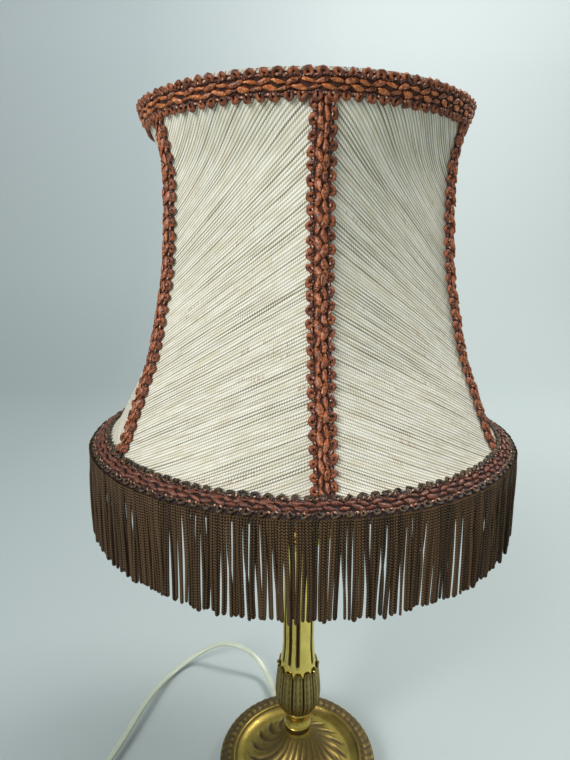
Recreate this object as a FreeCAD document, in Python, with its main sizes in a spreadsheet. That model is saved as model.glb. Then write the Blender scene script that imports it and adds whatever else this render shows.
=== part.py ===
import FreeCAD, Part
import math
import os

import Sketcher

# A bedside lamp: a cast and turned brass candlestick foot and fluted column, a lampholder on a
# tie rod, and a six-panel fabric shade with braid and fringe on a wire frame.
# The lamp stands on z = 0 about the Z axis. One rib of the shade points to the front, -Y.

V = FreeCAD.Vector
UNCUT_SHARE = 0.9999
doc = FreeCAD.newDocument("TableLamp")
sheet = doc.addObject("Spreadsheet::Sheet", "Sizes")

# Driving dimensions, in millimetres.
LENGTHS = {
    # Clearances
    "gap": 0.1,  # between pieces of one body that lie side by side
    "running_gap": 0.3,  # between pieces of different bodies
    "overrun": 4.0,  # how far a cutter runs past what it cuts
    "cloth_gap": 0.35,  # between the frame wires, the fabric and the braid
    # Foot
    "foot_radius": 58.4,  # outer edge of the rim
    "foot_height": 15.0,  # top of the rim band
    "foot_wall": 2.5,  # thickness of the casting
    "foot_lift": 0.4,  # bare edge above the table
    "rim_band": 9.4,  # width of the rim band
    "rim_edge_drop": 2.4,  # rounded outer edge, measured down
    "rim_edge_in": 1.4,  # rounded outer edge, measured in
    "rim_edge_bow": 2.6,  # radius of the outer edge
    "rim_band_drop": 1.2,  # fall of the band towards the dish
    "rim_band_bow": 34.0,  # radius across the band
    "bead_width": 2.4,  # raised line inside the band
    "bead_bow": 1.5,  # radius of the raised line
    "dish_drop": 1.8,  # dish edge below the band's inner edge
    "dish_floor": 11.0,  # lowest top surface of the dish
    "dish_floor_radius": 40.5,  # where the dish is lowest
    "dish_bow": 12.0,  # radius of the dish's curve up to the rim
    "dome_height": 40.0,  # seat of the neck spool
    "dome_neck_radius": 9.7,  # top of the swirled dome
    "dome_bow": 33.2,  # radius of the dome's hollow slope
    "dome_ceiling": 31.5,  # flat inside the dome, where the washer bears
    "ceiling_radius": 9.5,  # flat inside the dome
    "swirl_bow": 44.0,  # radius of the slope along the ridges
    "swirl_foot_radius": 40.3,  # where the ridges die into the dish
    "swirl_sink": 0.7,  # how far the ridges' ends reach below the dish
    "swirl_valley": 0.5,  # groove floor inside the dome's slope
    "rod_clearance": 0.2,  # round the tie rod
    "cord_height": 6.6,  # cord outlet above the table
    # Weight and felt
    "felt_thickness": 1.5,  # felt disc
    "felt_inset": 0.6,  # felt and weight inside the rim wall
    "weight_top": 7.0,  # top of the iron ring
    "weight_bore": 17.0,  # radius of the ring's opening
    "weight_slot": 10.6,  # width of the cord slot
    # Neck spool
    "spool_height": 16.5,  # from the dome to the leaf cup
    "spool_foot_radius": 9.4,  # plain foot
    "spool_foot_height": 3.4,  # plain foot
    "spool_rim_radius": 10.0,  # rim above the foot
    "spool_rim_height": 1.2,  # rim above the foot
    "spool_waist_radius": 8.6,  # ends of the hollow
    "spool_hollow_bow": 14.0,  # radius of the hollow
    "spool_bead_height": 3.2,  # bead under the leaf cup
    "spool_bead_bow": 1.7,  # radius of the bead
    # Leaf cup
    "cup_height": 39.0,  # from the spool to the leaf tips
    "cup_floor": 31.5,  # floor that carries the column
    "cup_belly": 16.4,  # largest radius
    "cup_mouth": 13.4,  # inner radius between the tips
    "leaf_groove": 1.3,  # depth between leaves
    "leaf_notch": 8.5,  # depth of the gap between tips
    # Column
    "column_height": 102.0,  # from the cup's floor to the collar
    "column_foot_radius": 12.75,  # lower end
    "column_bend": 34.0,  # height where the foot's curve ends
    "column_bend_radius": 11.2,  # radius there
    "column_top_radius": 10.3,  # upper end
    "column_bow": 300.0,  # radius of the foot's curve
    "flute_radius": 1.45,  # round of a flute
    "flute_stand_off": 0.55,  # flute centre outside the surface
    "flute_start": 12.5,  # lower flute end above the column's foot
    "flute_stop": 8.0,  # upper flute end below the column's top
    # Collar, drip pan and candle cup
    "collar_height": 7.0,  # ring on the column
    "collar_radius": 13.2,  # ring on the column
    "collar_bow": 3.4,  # radius of the ring's edge
    "pan_radius": 24.0,  # drip pan
    "pan_wall": 1.2,  # drip pan
    "pan_rise": 4.2,  # pan's edge above its floor
    "pan_floor_radius": 14.5,  # flat floor of the pan
    "pan_bow": 13.0,  # radius of the pan's slope
    "socket_height": 33.8,  # candle cup
    "socket_foot_radius": 9.0,  # candle cup's foot
    "socket_stem": 3.0,  # height of its foot
    "socket_waist_radius": 7.6,  # narrowest place
    "socket_belly_radius": 14.6,  # widest place
    "socket_belly_rise": 21.0,  # height of the widest place
    "socket_lip_radius": 15.8,  # upper lip
    "socket_lip_height": 2.0,  # upper lip
    "socket_wall": 1.8,  # wall of the cup
    "socket_foot_bow": 6.5,  # curve of the foot
    "socket_belly_bow": 16.0,  # curve of the cup
    "plate_thickness": 2.0,  # cover plate in the cup's mouth
    "spacer_radius": 7.0,  # tube under the lampholder
    "spacer_height": 14.0,  # tube under the lampholder
    # Tie rod
    "rod_radius": 5.0,  # ten millimetre threaded tube
    "rod_bore": 3.5,  # inside the tube
    "rod_foot": 19.0,  # lower end above the table
    "rod_into_holder": 10.0,  # thread inside the lampholder
    "washer_radius": 8.8,  # washer under the dome
    "washer_thickness": 1.6,  # washer under the dome
    "nut_across_flats": 14.0,  # hexagon nut
    "nut_height": 5.0,  # hexagon nut
    "thread_gap": 0.05,  # between threads drawn as plain cylinders
    # Lampholder
    "holder_radius": 13.6,  # cap
    "holder_wall": 1.6,  # cap and skirt
    "holder_neck_radius": 8.2,  # cap's lower neck
    "holder_neck_height": 4.0,  # cap's lower neck
    "holder_cap_height": 18.0,  # whole cap
    "holder_cap_bow": 9.5,  # curve of the cap's shoulder
    "skirt_radius": 14.0,  # thread for the shade ring
    "skirt_height": 40.0,  # skirt above the cap
    "flange_height": 16.0,  # lower side of the flange above the cap
    "flange_thickness": 2.0,  # flange that carries the shade
    "flange_radius": 19.0,  # flange that carries the shade
    "core_height": 17.0,  # insulator
    "core_collar_height": 20.0,  # insulating collar round the screw shell
    "core_collar_wall": 1.6,  # insulating collar
    "core_floor_rise": 4.0,  # insulator above the cap's inner floor
    "shell_bore": 7.2,  # inside the screw shell
    "shell_wall": 0.6,  # screw shell
    "shell_height": 24.0,  # screw shell
    "tongue_radius": 2.2,  # centre contact
    "tongue_height": 3.6,  # centre contact above the insulator
    # Bulb
    "bulb_radius": 22.5,  # globe
    "bulb_length": 76.0,  # from contact to crown
    "bulb_wall": 1.0,  # glass
    "bulb_neck_radius": 6.4,  # glass in the cap
    "bulb_cap_radius": 6.9,  # screw cap
    "bulb_cap_height": 18.6,  # screw cap
    "bulb_cap_wall": 0.5,  # screw cap
    "bulb_contact_radius": 2.8,  # centre contact
    "bulb_contact_height": 1.8,  # centre contact
    "bulb_neck_bow": 18.0,  # curve from the neck to the globe
    # Shade frame
    "wire_radius": 1.5,  # frame wire
    "top_ring_radius": 89.0,  # upper ring
    "bottom_ring_radius": 128.0,  # lower ring
    "waist_radius": 84.1,  # narrowest place of the ribs
    "shade_rise": 188.1,  # between the rings
    "spider_rise": 10.9,  # fitter above the lower ring
    "fitter_bore": 14.4,  # hole for the lampholder's thread
    "fitter_radius": 20.5,  # outside of the fitter ring
    "fitter_thickness": 2.0,  # fitter ring
    "ring_height": 6.4,  # screwed shade ring
    "ring_radius": 21.0,  # screwed shade ring
    "ring_grip_radius": 1.6,  # hollows round the shade ring
    # Fabric, braid and fringe
    "cloth": 0.8,  # fabric with its lining
    "cloth_over_top": 4.0,  # fabric past the upper ring
    "cloth_over_bottom": 1.2,  # fabric past the lower ring
    "panel_gap": 0.3,  # between neighbouring panels
    "braid_width": 13.0,  # gimp braid
    "braid_thickness": 2.0,  # gimp braid at its crown
    "braid_edge": 1.2,  # gimp braid at its edges
    "top_braid_bow": 14.0,  # crown of the upper braid
    "braid_over_top": 0.6,  # upper braid above the fabric
    "fringe_length": 48.6,  # hanging strands
    "fringe_clearance": 0.5,  # strands outside the lower ring's wire
    "fringe_thickness": 2.6,  # strands
    "fringe_crease": 0.9,  # depth between bunches
    # Flex, switch and plug
    "flex": 5.0,  # diameter of the cord
    "bush_length": 20.4,  # whole strain relief
    "bush_flange_radius": 4.5,  # inside the rim wall
    "bush_flange": 2.0,  # inside the rim wall
    "bush_neck_radius": 3.8,  # through the rim wall
    "bush_collar_radius": 4.8,  # outside the rim wall
    "bush_collar": 2.0,  # outside the rim wall
    "bush_tail_radius": 3.2,  # outer end
    "switch_x": -150.0,  # middle of the switch
    "switch_near": -22.0,  # end that faces the lamp
    "switch_length": 64.0,  # along the cord
    "switch_width": 27.0,  # across the cord
    "switch_base_height": 8.5,  # lower half
    "switch_cover_height": 9.5,  # upper half
    "switch_wall": 1.8,  # both halves
    "switch_nose": 17.0,  # width at the cord ends
    "switch_round": 2.2,  # rounded upper edges
    "rocker_length": 19.0,  # rocker
    "rocker_width": 11.0,  # rocker
    "rocker_stand": 2.6,  # rocker above the cover
    "rocker_barrel": 8.0,  # round underside, about the pivot
    "rocker_bow": 40.0,  # hollow of its top
    "screw_radius": 1.5,  # cover screws
    "screw_head_radius": 2.6,  # cover screws
    "screw_head": 1.6,  # cover screws
    "screw_spread": 44.0,  # between the screws
    "coil_x": -92.0,  # middle of the coil
    "coil_y": -81.5,  # middle of the coil
    "coil_radius": 39.5,  # outermost turn
    "coil_pitch": 5.6,  # from turn to turn
    "coil_layer": 5.5,  # from layer to layer
    "coil_lead": 6.0,  # straight start of the coil
    "coil_tail": 18.0,  # straight end of the coil
    "plug_tail": 20.0,  # plug's strain relief
    "plug_tail_radius": 3.4,  # thin end of it
    "plug_root_radius": 5.6,  # thick end of it
    "plug_length": 36.0,  # plug body
    "plug_width": 35.0,  # plug body
    "plug_neck": 19.0,  # plug body at the cord
    "plug_round": 2.6,  # rounded edges
    "pin_radius": 2.0,  # plug pins
    "pin_length": 19.0,  # plug pins
    "pin_spread": 18.6,  # between the pins
    "pin_tip": 1.2,  # rounded tips
}

# Angles, in degrees.
ANGLES = {
    "swirl_turn": 38.0,  # that a ridge turns on its way out
    "cord_azimuth": 102.0,  # from +X to where the cord leaves
    "flute_step": 30.0,  # between flutes of one group
    "flute_first": 238.0,  # from +X to the first flute
    "leaf_first": 265.0,  # from +X to the middle of a leaf of the cup
    "arm_offset": 2.4,  # from a rib to the arm beside it
    "rocker_tilt": 8.0,  # from level at rest
    "barrel_angle": 33.0,  # from level to each end of the rocker's underside
}

# Numbers of copies and of turns, and one ratio.
COUNTS = {
    "swirl_count": 20,  # ridges round the dome
    "leaf_count": 12,  # leaves round the cup
    "flute_group": 3,  # flutes in a group
    "flute_groups": 3,  # groups, with a plain band between them
    "arm_count": 3,  # wires from the fitter to the lower ring
    "rib_count": 6,  # ribs and panels
    "ring_grips": 24,  # hollows round the shade ring
    "fringe_count": 96,  # bunches of strands
    "coil_turns": 3.5,  # turns in each of two layers
    "bulb_shoulder_share": 0.8,  # globe radius where the neck's curve meets it
}


class Size:
    """A value of the sheet, or what is worked out from such values, with the expression that binds it."""

    def __init__(self, text, value):
        self.text = text
        self.value = value

    def __float__(self):
        return float(self.value)

    def __add__(self, other):
        return joined(self, "+", other, self.value + float(other))

    def __radd__(self, other):
        return joined(other, "+", self, float(other) + self.value)

    def __sub__(self, other):
        return joined(self, "-", other, self.value - float(other))

    def __rsub__(self, other):
        return joined(other, "-", self, float(other) - self.value)

    def __mul__(self, other):
        return joined(self, "*", other, self.value * float(other))

    def __rmul__(self, other):
        return joined(other, "*", self, float(other) * self.value)

    def __truediv__(self, other):
        return joined(self, "/", other, self.value / float(other))

    def __neg__(self):
        return Size(f"(-1 * {self.text})", -self.value)


def joined(left, sign, right, value):
    words = [s.text if isinstance(s, Size) else repr(s) for s in (left, right)]
    return Size(f"({words[0]} {sign} {words[1]})", value)


def cosine(angle):
    return Size(f"cos({angle.text} * 1 deg)", math.cos(math.radians(float(angle))))


def sine(angle):
    return Size(f"sin({angle.text} * 1 deg)", math.sin(math.radians(float(angle))))


class Sizes:
    """Every size of the sheet by its name."""


S = Sizes()
for row, (name, value) in enumerate([*LENGTHS.items(), *ANGLES.items(), *COUNTS.items()], 1):
    sheet.set(f"A{row}", name)
    sheet.set(f"B{row}", str(value))
    sheet.setAlias(f"B{row}", name)
doc.recompute()
for name in (*LENGTHS, *ANGLES, *COUNTS):
    setattr(S, name, Size(f"Sizes.{name}", sheet.get(name)))

kept = {}


def keep(node, obj):
    """Registers a finished sub-part under the name that its file gets."""
    obj.Label = node
    kept[node] = obj
    return obj


def new_body(name):
    return doc.addObject("PartDesign::Body", name)


def own_plane(body, role):
    return next(f for f in body.Origin.OriginFeatures if f.Role == role)


def new_sketch(body, name, role="XZ_Plane", up=None):
    """A sketch on one of the body's own planes, raised from it along its normal where up is given."""
    sketch = body.newObject("Sketcher::SketchObject", name)
    sketch.AttachmentSupport = (own_plane(body, role), [""])
    sketch.MapMode = "FlatFace"
    if up is not None:
        sketch.AttachmentOffset = FreeCAD.Placement(V(0, 0, float(up)), FreeCAD.Rotation())
        sketch.setExpression("AttachmentOffset.Base.z", up.text)
    return sketch


def bind(sketch, kind, place, size):
    """Holds one coordinate of a point, or a radius, to a size of the sheet. A plain 0 is an axis."""
    if not isinstance(size, Size):
        sketch.addConstraint(Sketcher.Constraint("PointOnObject", *place, -2 if kind == "DistanceX" else -1))
        return
    if kind == "Radius":
        ends = place
    elif float(size) < 0:
        ends = (*place, -1, 1)
        size = -size
    else:
        ends = (-1, 1, *place)
    number = sketch.addConstraint(Sketcher.Constraint(kind, *ends, float(size)))
    sketch.setExpression(f"Constraints[{number}]", size.text)


def arc_middle(start, end, radius, side):
    """The middle of the arc from start to end whose centre lies to the left (1) or right (-1)."""
    chord = end - start
    half = chord.Length / 2
    left = V(-chord.y, chord.x, 0).normalize()
    reach = math.sqrt(max(radius * radius - half * half, 0))
    return (start + end) * 0.5 - left * side * (radius - reach)


def draw(sketch, points):
    """A closed outline. A point is (across, up), or (across, up, radius, side) where an arc leaves it."""
    places = [V(float(p[0]), float(p[1]), 0) for p in points]
    edges = []
    for index, point in enumerate(points):
        start = places[index]
        end = places[(index + 1) % len(points)]
        if len(point) == 4:
            middle = arc_middle(start, end, float(point[2]), point[3])
            number = sketch.addGeometry(Part.Arc(start, middle, end))
        else:
            number = sketch.addGeometry(Part.LineSegment(start, end))
        ends = [(sketch.getPoint(number, which) - start).Length for which in (1, 2)]
        first = 1 if ends[0] < ends[1] else 2
        edges.append((number, first, 3 - first))
    for index, (number, first, last) in enumerate(edges):
        following = edges[(index + 1) % len(edges)]
        sketch.addConstraint(Sketcher.Constraint("Coincident", number, last, following[0], following[1]))
    for (number, first, last), point in zip(edges, points):
        bind(sketch, "DistanceX", (number, first), point[0])
        bind(sketch, "DistanceY", (number, first), point[1])
        if len(point) == 4:
            bind(sketch, "Radius", (number,), point[2])


def pad(body, name, sketch, length, both_ways=False):
    feature = body.newObject("PartDesign::Pad", name)
    feature.Profile = sketch
    feature.Midplane = both_ways
    feature.setExpression("Length", length.text)
    return feature


def circle(sketch, radius, across=0):
    """A circle about the origin, or about a place across from it."""
    sketch.addGeometry(Part.Circle(V(float(across), 0, 0), V(0, 0, 1), float(radius)))
    bind(sketch, "DistanceX", (0, 3), across)
    bind(sketch, "DistanceY", (0, 3), 0)
    bind(sketch, "Radius", (0,), radius)


def pocket(body, name, sketch, depth, both_ways=False):
    """Cuts a sketch's outline upwards, and checks that something came away."""
    doc.recompute()
    before = body.Shape.Volume
    feature = body.newObject("PartDesign::Pocket", name)
    feature.Profile = sketch
    feature.Reversed = not both_ways
    feature.Midplane = both_ways
    feature.setExpression("Length", depth.text)
    doc.recompute()
    if feature.Shape.Volume > before * UNCUT_SHARE:
        raise RuntimeError(f"{name} cut nothing")
    return feature


def turned(node, points):
    """A body of one outline in the XZ plane, (radius, height) points, turned about the Z axis."""
    body = new_body(node)
    sketch = new_sketch(body, node + "_outline")
    draw(sketch, points)
    feature = body.newObject("PartDesign::Revolution", node + "_turned")
    feature.Profile = sketch
    feature.ReferenceAxis = (sketch, ["V_Axis"])
    feature.Angle = 360
    return body


def rectangle(inner, outer, low, high):
    return [(inner, low), (outer, low), (outer, high), (inner, high)]


def place(obj, x=None, y=None, z=None, turn=None, axis=V(0, 0, 1)):
    """Moves and turns an object, bound to the sheet."""
    angle = 0.0 if turn is None else float(turn)
    base = V(*(0.0 if c is None else float(c) for c in (x, y, z)))
    obj.Placement = FreeCAD.Placement(base, FreeCAD.Rotation(axis, angle))
    for letter, size in (("x", x), ("y", y), ("z", z)):
        if isinstance(size, Size):
            obj.setExpression(f"Placement.Base.{letter}", size.text)
    if isinstance(turn, Size):
        obj.setExpression("Placement.Rotation.Angle", turn.text)
    return obj


def cut(name, base, *tools):
    """Base less the tools."""
    tool = tools[0]
    if len(tools) > 1:
        tool = doc.addObject("Part::MultiFuse", name + "_cutters")
        tool.Shapes = list(tools)
    result = doc.addObject("Part::Cut", name)
    result.Base = base
    result.Tool = tool
    return result


def fuse(name, *pieces):
    result = doc.addObject("Part::MultiFuse", name)
    result.Shapes = list(pieces)
    return result


def group(name, *pieces):
    result = doc.addObject("Part::Compound", name)
    result.Links = list(pieces)
    return result


def shaped(name, shape):
    """A feature whose shape is worked out by the code, from the sheet's values."""
    feature = doc.addObject("Part::Feature", name)
    feature.Shape = shape
    return feature


def cylinder(name, radius, height, x=None, y=None, z=None, turn=None, axis=V(0, 0, 1)):
    result = doc.addObject("Part::Cylinder", name)
    result.setExpression("Radius", radius.text)
    result.setExpression("Height", height.text)
    return place(result, x, y, z, turn, axis)


def polar(radius, degrees, z=0.0):
    angle = math.radians(degrees)
    return V(radius * math.cos(angle), radius * math.sin(angle), z)


# Foot: a hollow casting with a leaf rim, a dish and a dome of swirled ridges.
rim_inside = S.foot_radius - S.rim_edge_in - S.rim_band
dish_edge = rim_inside - S.bead_width
band_inner_height = S.foot_height - S.rim_band_drop
dish_edge_height = band_inner_height - S.dish_drop
rod_hole = S.rod_radius + S.rod_clearance
wall_inside = S.foot_radius - S.foot_wall
foot_solid = turned("foot_solid", [
    (0, S.foot_lift),
    (S.foot_radius - S.foot_lift, S.foot_lift),
    (S.foot_radius, S.foot_height - S.rim_edge_drop, S.rim_edge_bow, 1),
    (S.foot_radius - S.rim_edge_in, S.foot_height, S.rim_band_bow, 1),
    (rim_inside, band_inner_height, S.bead_bow, 1),
    (dish_edge, dish_edge_height, S.dish_bow, -1),
    (S.dish_floor_radius, S.dish_floor, S.dome_bow, -1),
    (S.dome_neck_radius, S.dome_height),
    (0, S.dome_height),
])
foot_hollow = turned("foot_hollow", [
    (0, -S.overrun),
    (wall_inside, -S.overrun),
    (wall_inside, band_inner_height - S.foot_wall),
    (dish_edge, dish_edge_height - S.foot_wall),
    (S.dish_floor_radius, S.dish_floor - S.foot_wall, S.dome_bow + S.foot_wall, -1),
    (S.ceiling_radius, S.dome_ceiling),
    (rod_hole, S.dome_ceiling),
    (rod_hole, S.dome_height + S.overrun),
    (0, S.dome_height + S.overrun),
])


def crossing(low, high, bow, height):
    """The radius at which the slope from high to low passes a height."""
    start = V(*low, 0)
    end = V(*high, 0)
    arc = Part.Arc(start, arc_middle(start, end, bow, -1), end)
    level = Part.LineSegment(V(0, height, 0), V(start.x + start.x, height, 0))
    return max(hit.X for hit in arc.intersect(level))


def lobed_wire(crest, valley, height, count, turn):
    """A level outline of count outward lobes, with its first valley at turn degrees."""
    step = 360.0 / count
    edges = []
    for lobe in range(count):
        start = polar(valley, turn + lobe * step, height)
        end = polar(valley, turn + (lobe + 1) * step, height)
        middle = polar(crest, turn + (lobe + 0.5) * step, height)
        edges.append(Part.Arc(start, middle, end).toShape())
    return Part.Wire(edges)


def swirl():
    """The dome's ridges: lobed outlines that turn as they widen, lofted from the neck to the dish."""
    neck = (float(S.dome_neck_radius), float(S.dome_height))
    foot = (float(S.swirl_foot_radius), float(S.dish_floor - S.swirl_sink))
    dome = (float(S.dish_floor_radius), float(S.dish_floor))
    height_shares = (0.985, 0.84, 0.69, 0.55, 0.42, 0.31, 0.21, 0.12, 0.04)
    reach = math.log(foot[0] / neck[0])
    wires = []
    for share in height_shares:
        height = foot[1] + (neck[1] - foot[1]) * share
        crest = crossing(foot, neck, float(S.swirl_bow), height)
        inside = crossing(dome, neck, float(S.dome_bow), max(height, dome[1]))
        valley = inside - float(S.swirl_valley) * (1 - share)
        turn = -float(S.swirl_turn) * math.log(crest / neck[0]) / reach
        wires.append(lobed_wire(crest, min(valley, crest), height, int(float(S.swirl_count)), turn))
    return Part.makeLoft(wires, True, False)


cord_hole = cylinder(
    "cord_hole", S.bush_neck_radius + S.gap, S.foot_wall + S.overrun + S.overrun,
    (wall_inside - S.overrun) * cosine(S.cord_azimuth),
    (wall_inside - S.overrun) * sine(S.cord_azimuth),
    S.cord_height,
)
outward = FreeCAD.Rotation(V(0, 0, 1), float(S.cord_azimuth)) * FreeCAD.Rotation(V(0, 1, 0), 90)
cord_hole.Placement = FreeCAD.Placement(cord_hole.Placement.Base, outward)
foot_full = fuse("foot_full", foot_solid, shaped("foot_swirl", swirl()))
keep("base_foot", cut("foot", foot_full, foot_hollow, cord_hole))

# Iron ring and felt under the foot.
base_inside = wall_inside - S.felt_inset
weight = turned("base_weight", rectangle(S.weight_bore, base_inside, S.felt_thickness, S.weight_top))
slot_sketch = new_sketch(weight, "weight_slot", "XY_Plane")
slot_half = S.weight_slot / 2
draw(slot_sketch, [
    (S.weight_bore - S.overrun, -slot_half),
    (base_inside + S.overrun, -slot_half),
    (base_inside + S.overrun, slot_half),
    (S.weight_bore - S.overrun, slot_half),
])
pocket(weight, "weight_slot_cut", slot_sketch, (S.weight_top + S.overrun) * 2, both_ways=True)
place(weight, turn=S.cord_azimuth)
keep("base_weight", weight)
keep("base_felt", turned("base_felt", [
    (0, 0), (base_inside, 0), (base_inside, S.felt_thickness), (0, S.felt_thickness),
]))

# Strain relief of the cord, turned about its own axis and set into the rim wall.
bush_start = wall_inside - S.bush_flange - S.gap
bush_bore = S.flex / 2 + S.gap
bush_neck_end = S.bush_flange + S.foot_wall + S.gap + S.gap
bush = turned("cord_bush", [
    (bush_bore, 0),
    (S.bush_flange_radius, 0),
    (S.bush_flange_radius, S.bush_flange),
    (S.bush_neck_radius, S.bush_flange),
    (S.bush_neck_radius, bush_neck_end),
    (S.bush_collar_radius, bush_neck_end),
    (S.bush_collar_radius, bush_neck_end + S.bush_collar),
    (S.bush_neck_radius, bush_neck_end + S.bush_collar),
    (S.bush_tail_radius, S.bush_length),
    (bush_bore, S.bush_length),
])
bush.Placement = FreeCAD.Placement(V(), outward)
bush.setExpression("Placement.Base.x", (bush_start * cosine(S.cord_azimuth)).text)
bush.setExpression("Placement.Base.y", (bush_start * sine(S.cord_azimuth)).text)
bush.setExpression("Placement.Base.z", S.cord_height.text)
keep("cord_bush", bush)

# Neck spool.
spool_seat = S.dome_height
spool_top = spool_seat + S.spool_height
spool_rim_foot = spool_seat + S.spool_foot_height
spool_rim_top = spool_rim_foot + S.spool_rim_height
keep("neck_spool", turned("neck_spool", [
    (rod_hole, spool_seat),
    (S.spool_foot_radius, spool_seat),
    (S.spool_foot_radius, spool_rim_foot),
    (S.spool_rim_radius, spool_rim_foot),
    (S.spool_rim_radius, spool_rim_top, S.spool_hollow_bow, -1),
    (S.spool_waist_radius, spool_top - S.spool_bead_height, S.spool_bead_bow, 1),
    (S.spool_waist_radius, spool_top),
    (rod_hole, spool_top),
]))


# Leaf cup: a lobed calyx with notched, out-turned tips, hollow above its floor.
def leaf_cup():
    base = float(spool_top)
    height = float(S.cup_height)
    belly = float(S.cup_belly)
    groove = float(S.leaf_groove)
    leaves = int(float(S.leaf_count))
    step = 360.0 / leaves
    first_groove = float(S.leaf_first) - step / 2
    height_shares = (0.0, 0.045, 0.10, 0.17, 0.26, 0.40, 0.60, 0.82, 1.0)
    radius_shares = (0.56, 0.70, 0.80, 0.878, 0.95, 1.0, 0.97, 0.92, 0.905)
    groove_shares = (0.1, 0.2, 0.35, 0.55, 0.75, 0.9, 1.0, 1.0, 1.0)
    wires = []
    for up, out, deep in zip(height_shares, radius_shares, groove_shares):
        crest = belly * out
        wires.append(lobed_wire(crest, crest - groove * deep, base + height * up, leaves, first_groove))
    solid = Part.makeLoft(wires, True, False)
    hollow = Part.makeCylinder(
        float(S.cup_mouth), height + float(S.overrun), V(0, 0, base + float(S.cup_floor))
    )
    bore = Part.makeCylinder(float(rod_hole), height, V(0, 0, base))
    notches = []
    for leaf in range(leaves):
        angle = first_groove + leaf * step
        bottom = base + height - float(S.leaf_notch)
        top = base + height + float(S.overrun)
        half = (top - bottom) * math.tan(math.radians(step / 2)) * 0.55
        side = polar(1.0, angle + 90.0)
        inner = polar(float(rod_hole), angle)
        corners = [V(0, 0, bottom), side * half + V(0, 0, top), side * -half + V(0, 0, top)]
        wedge = Part.Face(Part.makePolygon([inner + c for c in corners + corners[:1]]))
        notches.append(wedge.extrude(polar(belly + float(S.overrun), angle)))
    return solid.cut([hollow, bore] + notches)


keep("leaf_cup", shaped("leaf_cup", leaf_cup()))

# Fluted column.
column_seat = spool_top + S.cup_floor
column_top = column_seat + S.column_height
column = turned("fluted_column", [
    (rod_hole, column_seat),
    (S.column_foot_radius, column_seat, S.column_bow, -1),
    (S.column_bend_radius, column_seat + S.column_bend),
    (S.column_top_radius, column_top),
    (rod_hole, column_top),
])
flute_low = column_seat + S.flute_start
flute_high = column_top - S.flute_stop
foot_fall = (S.column_foot_radius - S.column_bend_radius) * S.flute_start / S.column_bend
flute_places = [
    (S.column_foot_radius - foot_fall + S.flute_stand_off, flute_low),
    (S.column_bend_radius + S.flute_stand_off, column_seat + S.column_bend),
    (S.column_top_radius + S.flute_stand_off, flute_high),
]
spine = new_sketch(column, "flute_spine")
for number in range(2):
    first, last = flute_places[number:number + 2]
    line = Part.LineSegment(V(float(first[0]), float(first[1]), 0), V(float(last[0]), float(last[1]), 0))
    spine.addGeometry(line)
    bind(spine, "DistanceX", (number, 1), first[0])
    bind(spine, "DistanceY", (number, 1), first[1])
spine.addConstraint(Sketcher.Constraint("Coincident", 0, 2, 1, 1))
bind(spine, "DistanceX", (1, 2), flute_places[2][0])
bind(spine, "DistanceY", (1, 2), flute_places[2][1])
flute_round = new_sketch(column, "flute_round", "XY_Plane", flute_low)
circle(flute_round, S.flute_radius, flute_places[0][0])
doc.recompute()
flute = column.newObject("PartDesign::SubtractivePipe", "flute")
flute.Profile = flute_round
flute.Spine = (spine, ["Edge1", "Edge2"])
flute_foot = column.newObject("PartDesign::SubtractiveSphere", "flute_foot")
flute_foot.setExpression("Radius", S.flute_radius.text)
flute_foot.AttachmentSupport = (own_plane(column, "XY_Plane"), [""])
flute_foot.MapMode = "FlatFace"
flute_foot.setExpression("AttachmentOffset.Base.x", flute_places[0][0].text)
flute_foot.setExpression("AttachmentOffset.Base.z", flute_places[0][1].text)
flutes = column.newObject("PartDesign::MultiTransform", "flutes")
flutes.Originals = [flute, flute_foot]
steps = []
for label, sweep, count in (("flutes_in_group", S.flute_step * (S.flute_group - 1), S.flute_group),
                            ("flute_groups", None, S.flute_groups)):
    pattern = doc.addObject("PartDesign::PolarPattern", label)
    pattern.Axis = (own_plane(column, "Z_Axis"), [""])
    pattern.Angle = 360
    pattern.Occurrences = int(float(count))
    pattern.setExpression("Occurrences", count.text)
    if sweep is not None:
        pattern.setExpression("Angle", sweep.text)
    steps.append(pattern)
flutes.Transformations = steps
column.Tip = flutes
place(column, turn=S.flute_first - 360)
keep("fluted_column", column)

# Collar, drip pan, candle cup, its cover plate and the spacer tube.
collar_seat = column_top
pan_seat = collar_seat + S.collar_height
keep("column_collar", turned("column_collar", [
    (rod_hole, collar_seat),
    (S.column_top_radius, collar_seat),
    (S.collar_radius - S.pan_wall, collar_seat + S.pan_wall, S.collar_bow, 1),
    (S.collar_radius - S.pan_wall, pan_seat - S.pan_wall),
    (S.column_top_radius, pan_seat),
    (rod_hole, pan_seat),
]))
pan_top = pan_seat + S.pan_wall
keep("drip_pan", turned("drip_pan", [
    (rod_hole, pan_seat),
    (S.pan_floor_radius, pan_seat, S.pan_bow, 1),
    (S.pan_radius, pan_seat + S.pan_rise),
    (S.pan_radius, pan_top + S.pan_rise),
    (S.pan_radius - S.pan_wall, pan_top + S.pan_rise, S.pan_bow, -1),
    (S.pan_floor_radius, pan_top),
    (rod_hole, pan_top),
]))
socket_top = pan_top + S.socket_height
lip_base = socket_top - S.socket_lip_height
belly_height = pan_top + S.socket_belly_rise
plate_seat = socket_top - S.plate_thickness
socket_inside = S.socket_belly_radius - S.socket_wall
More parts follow.
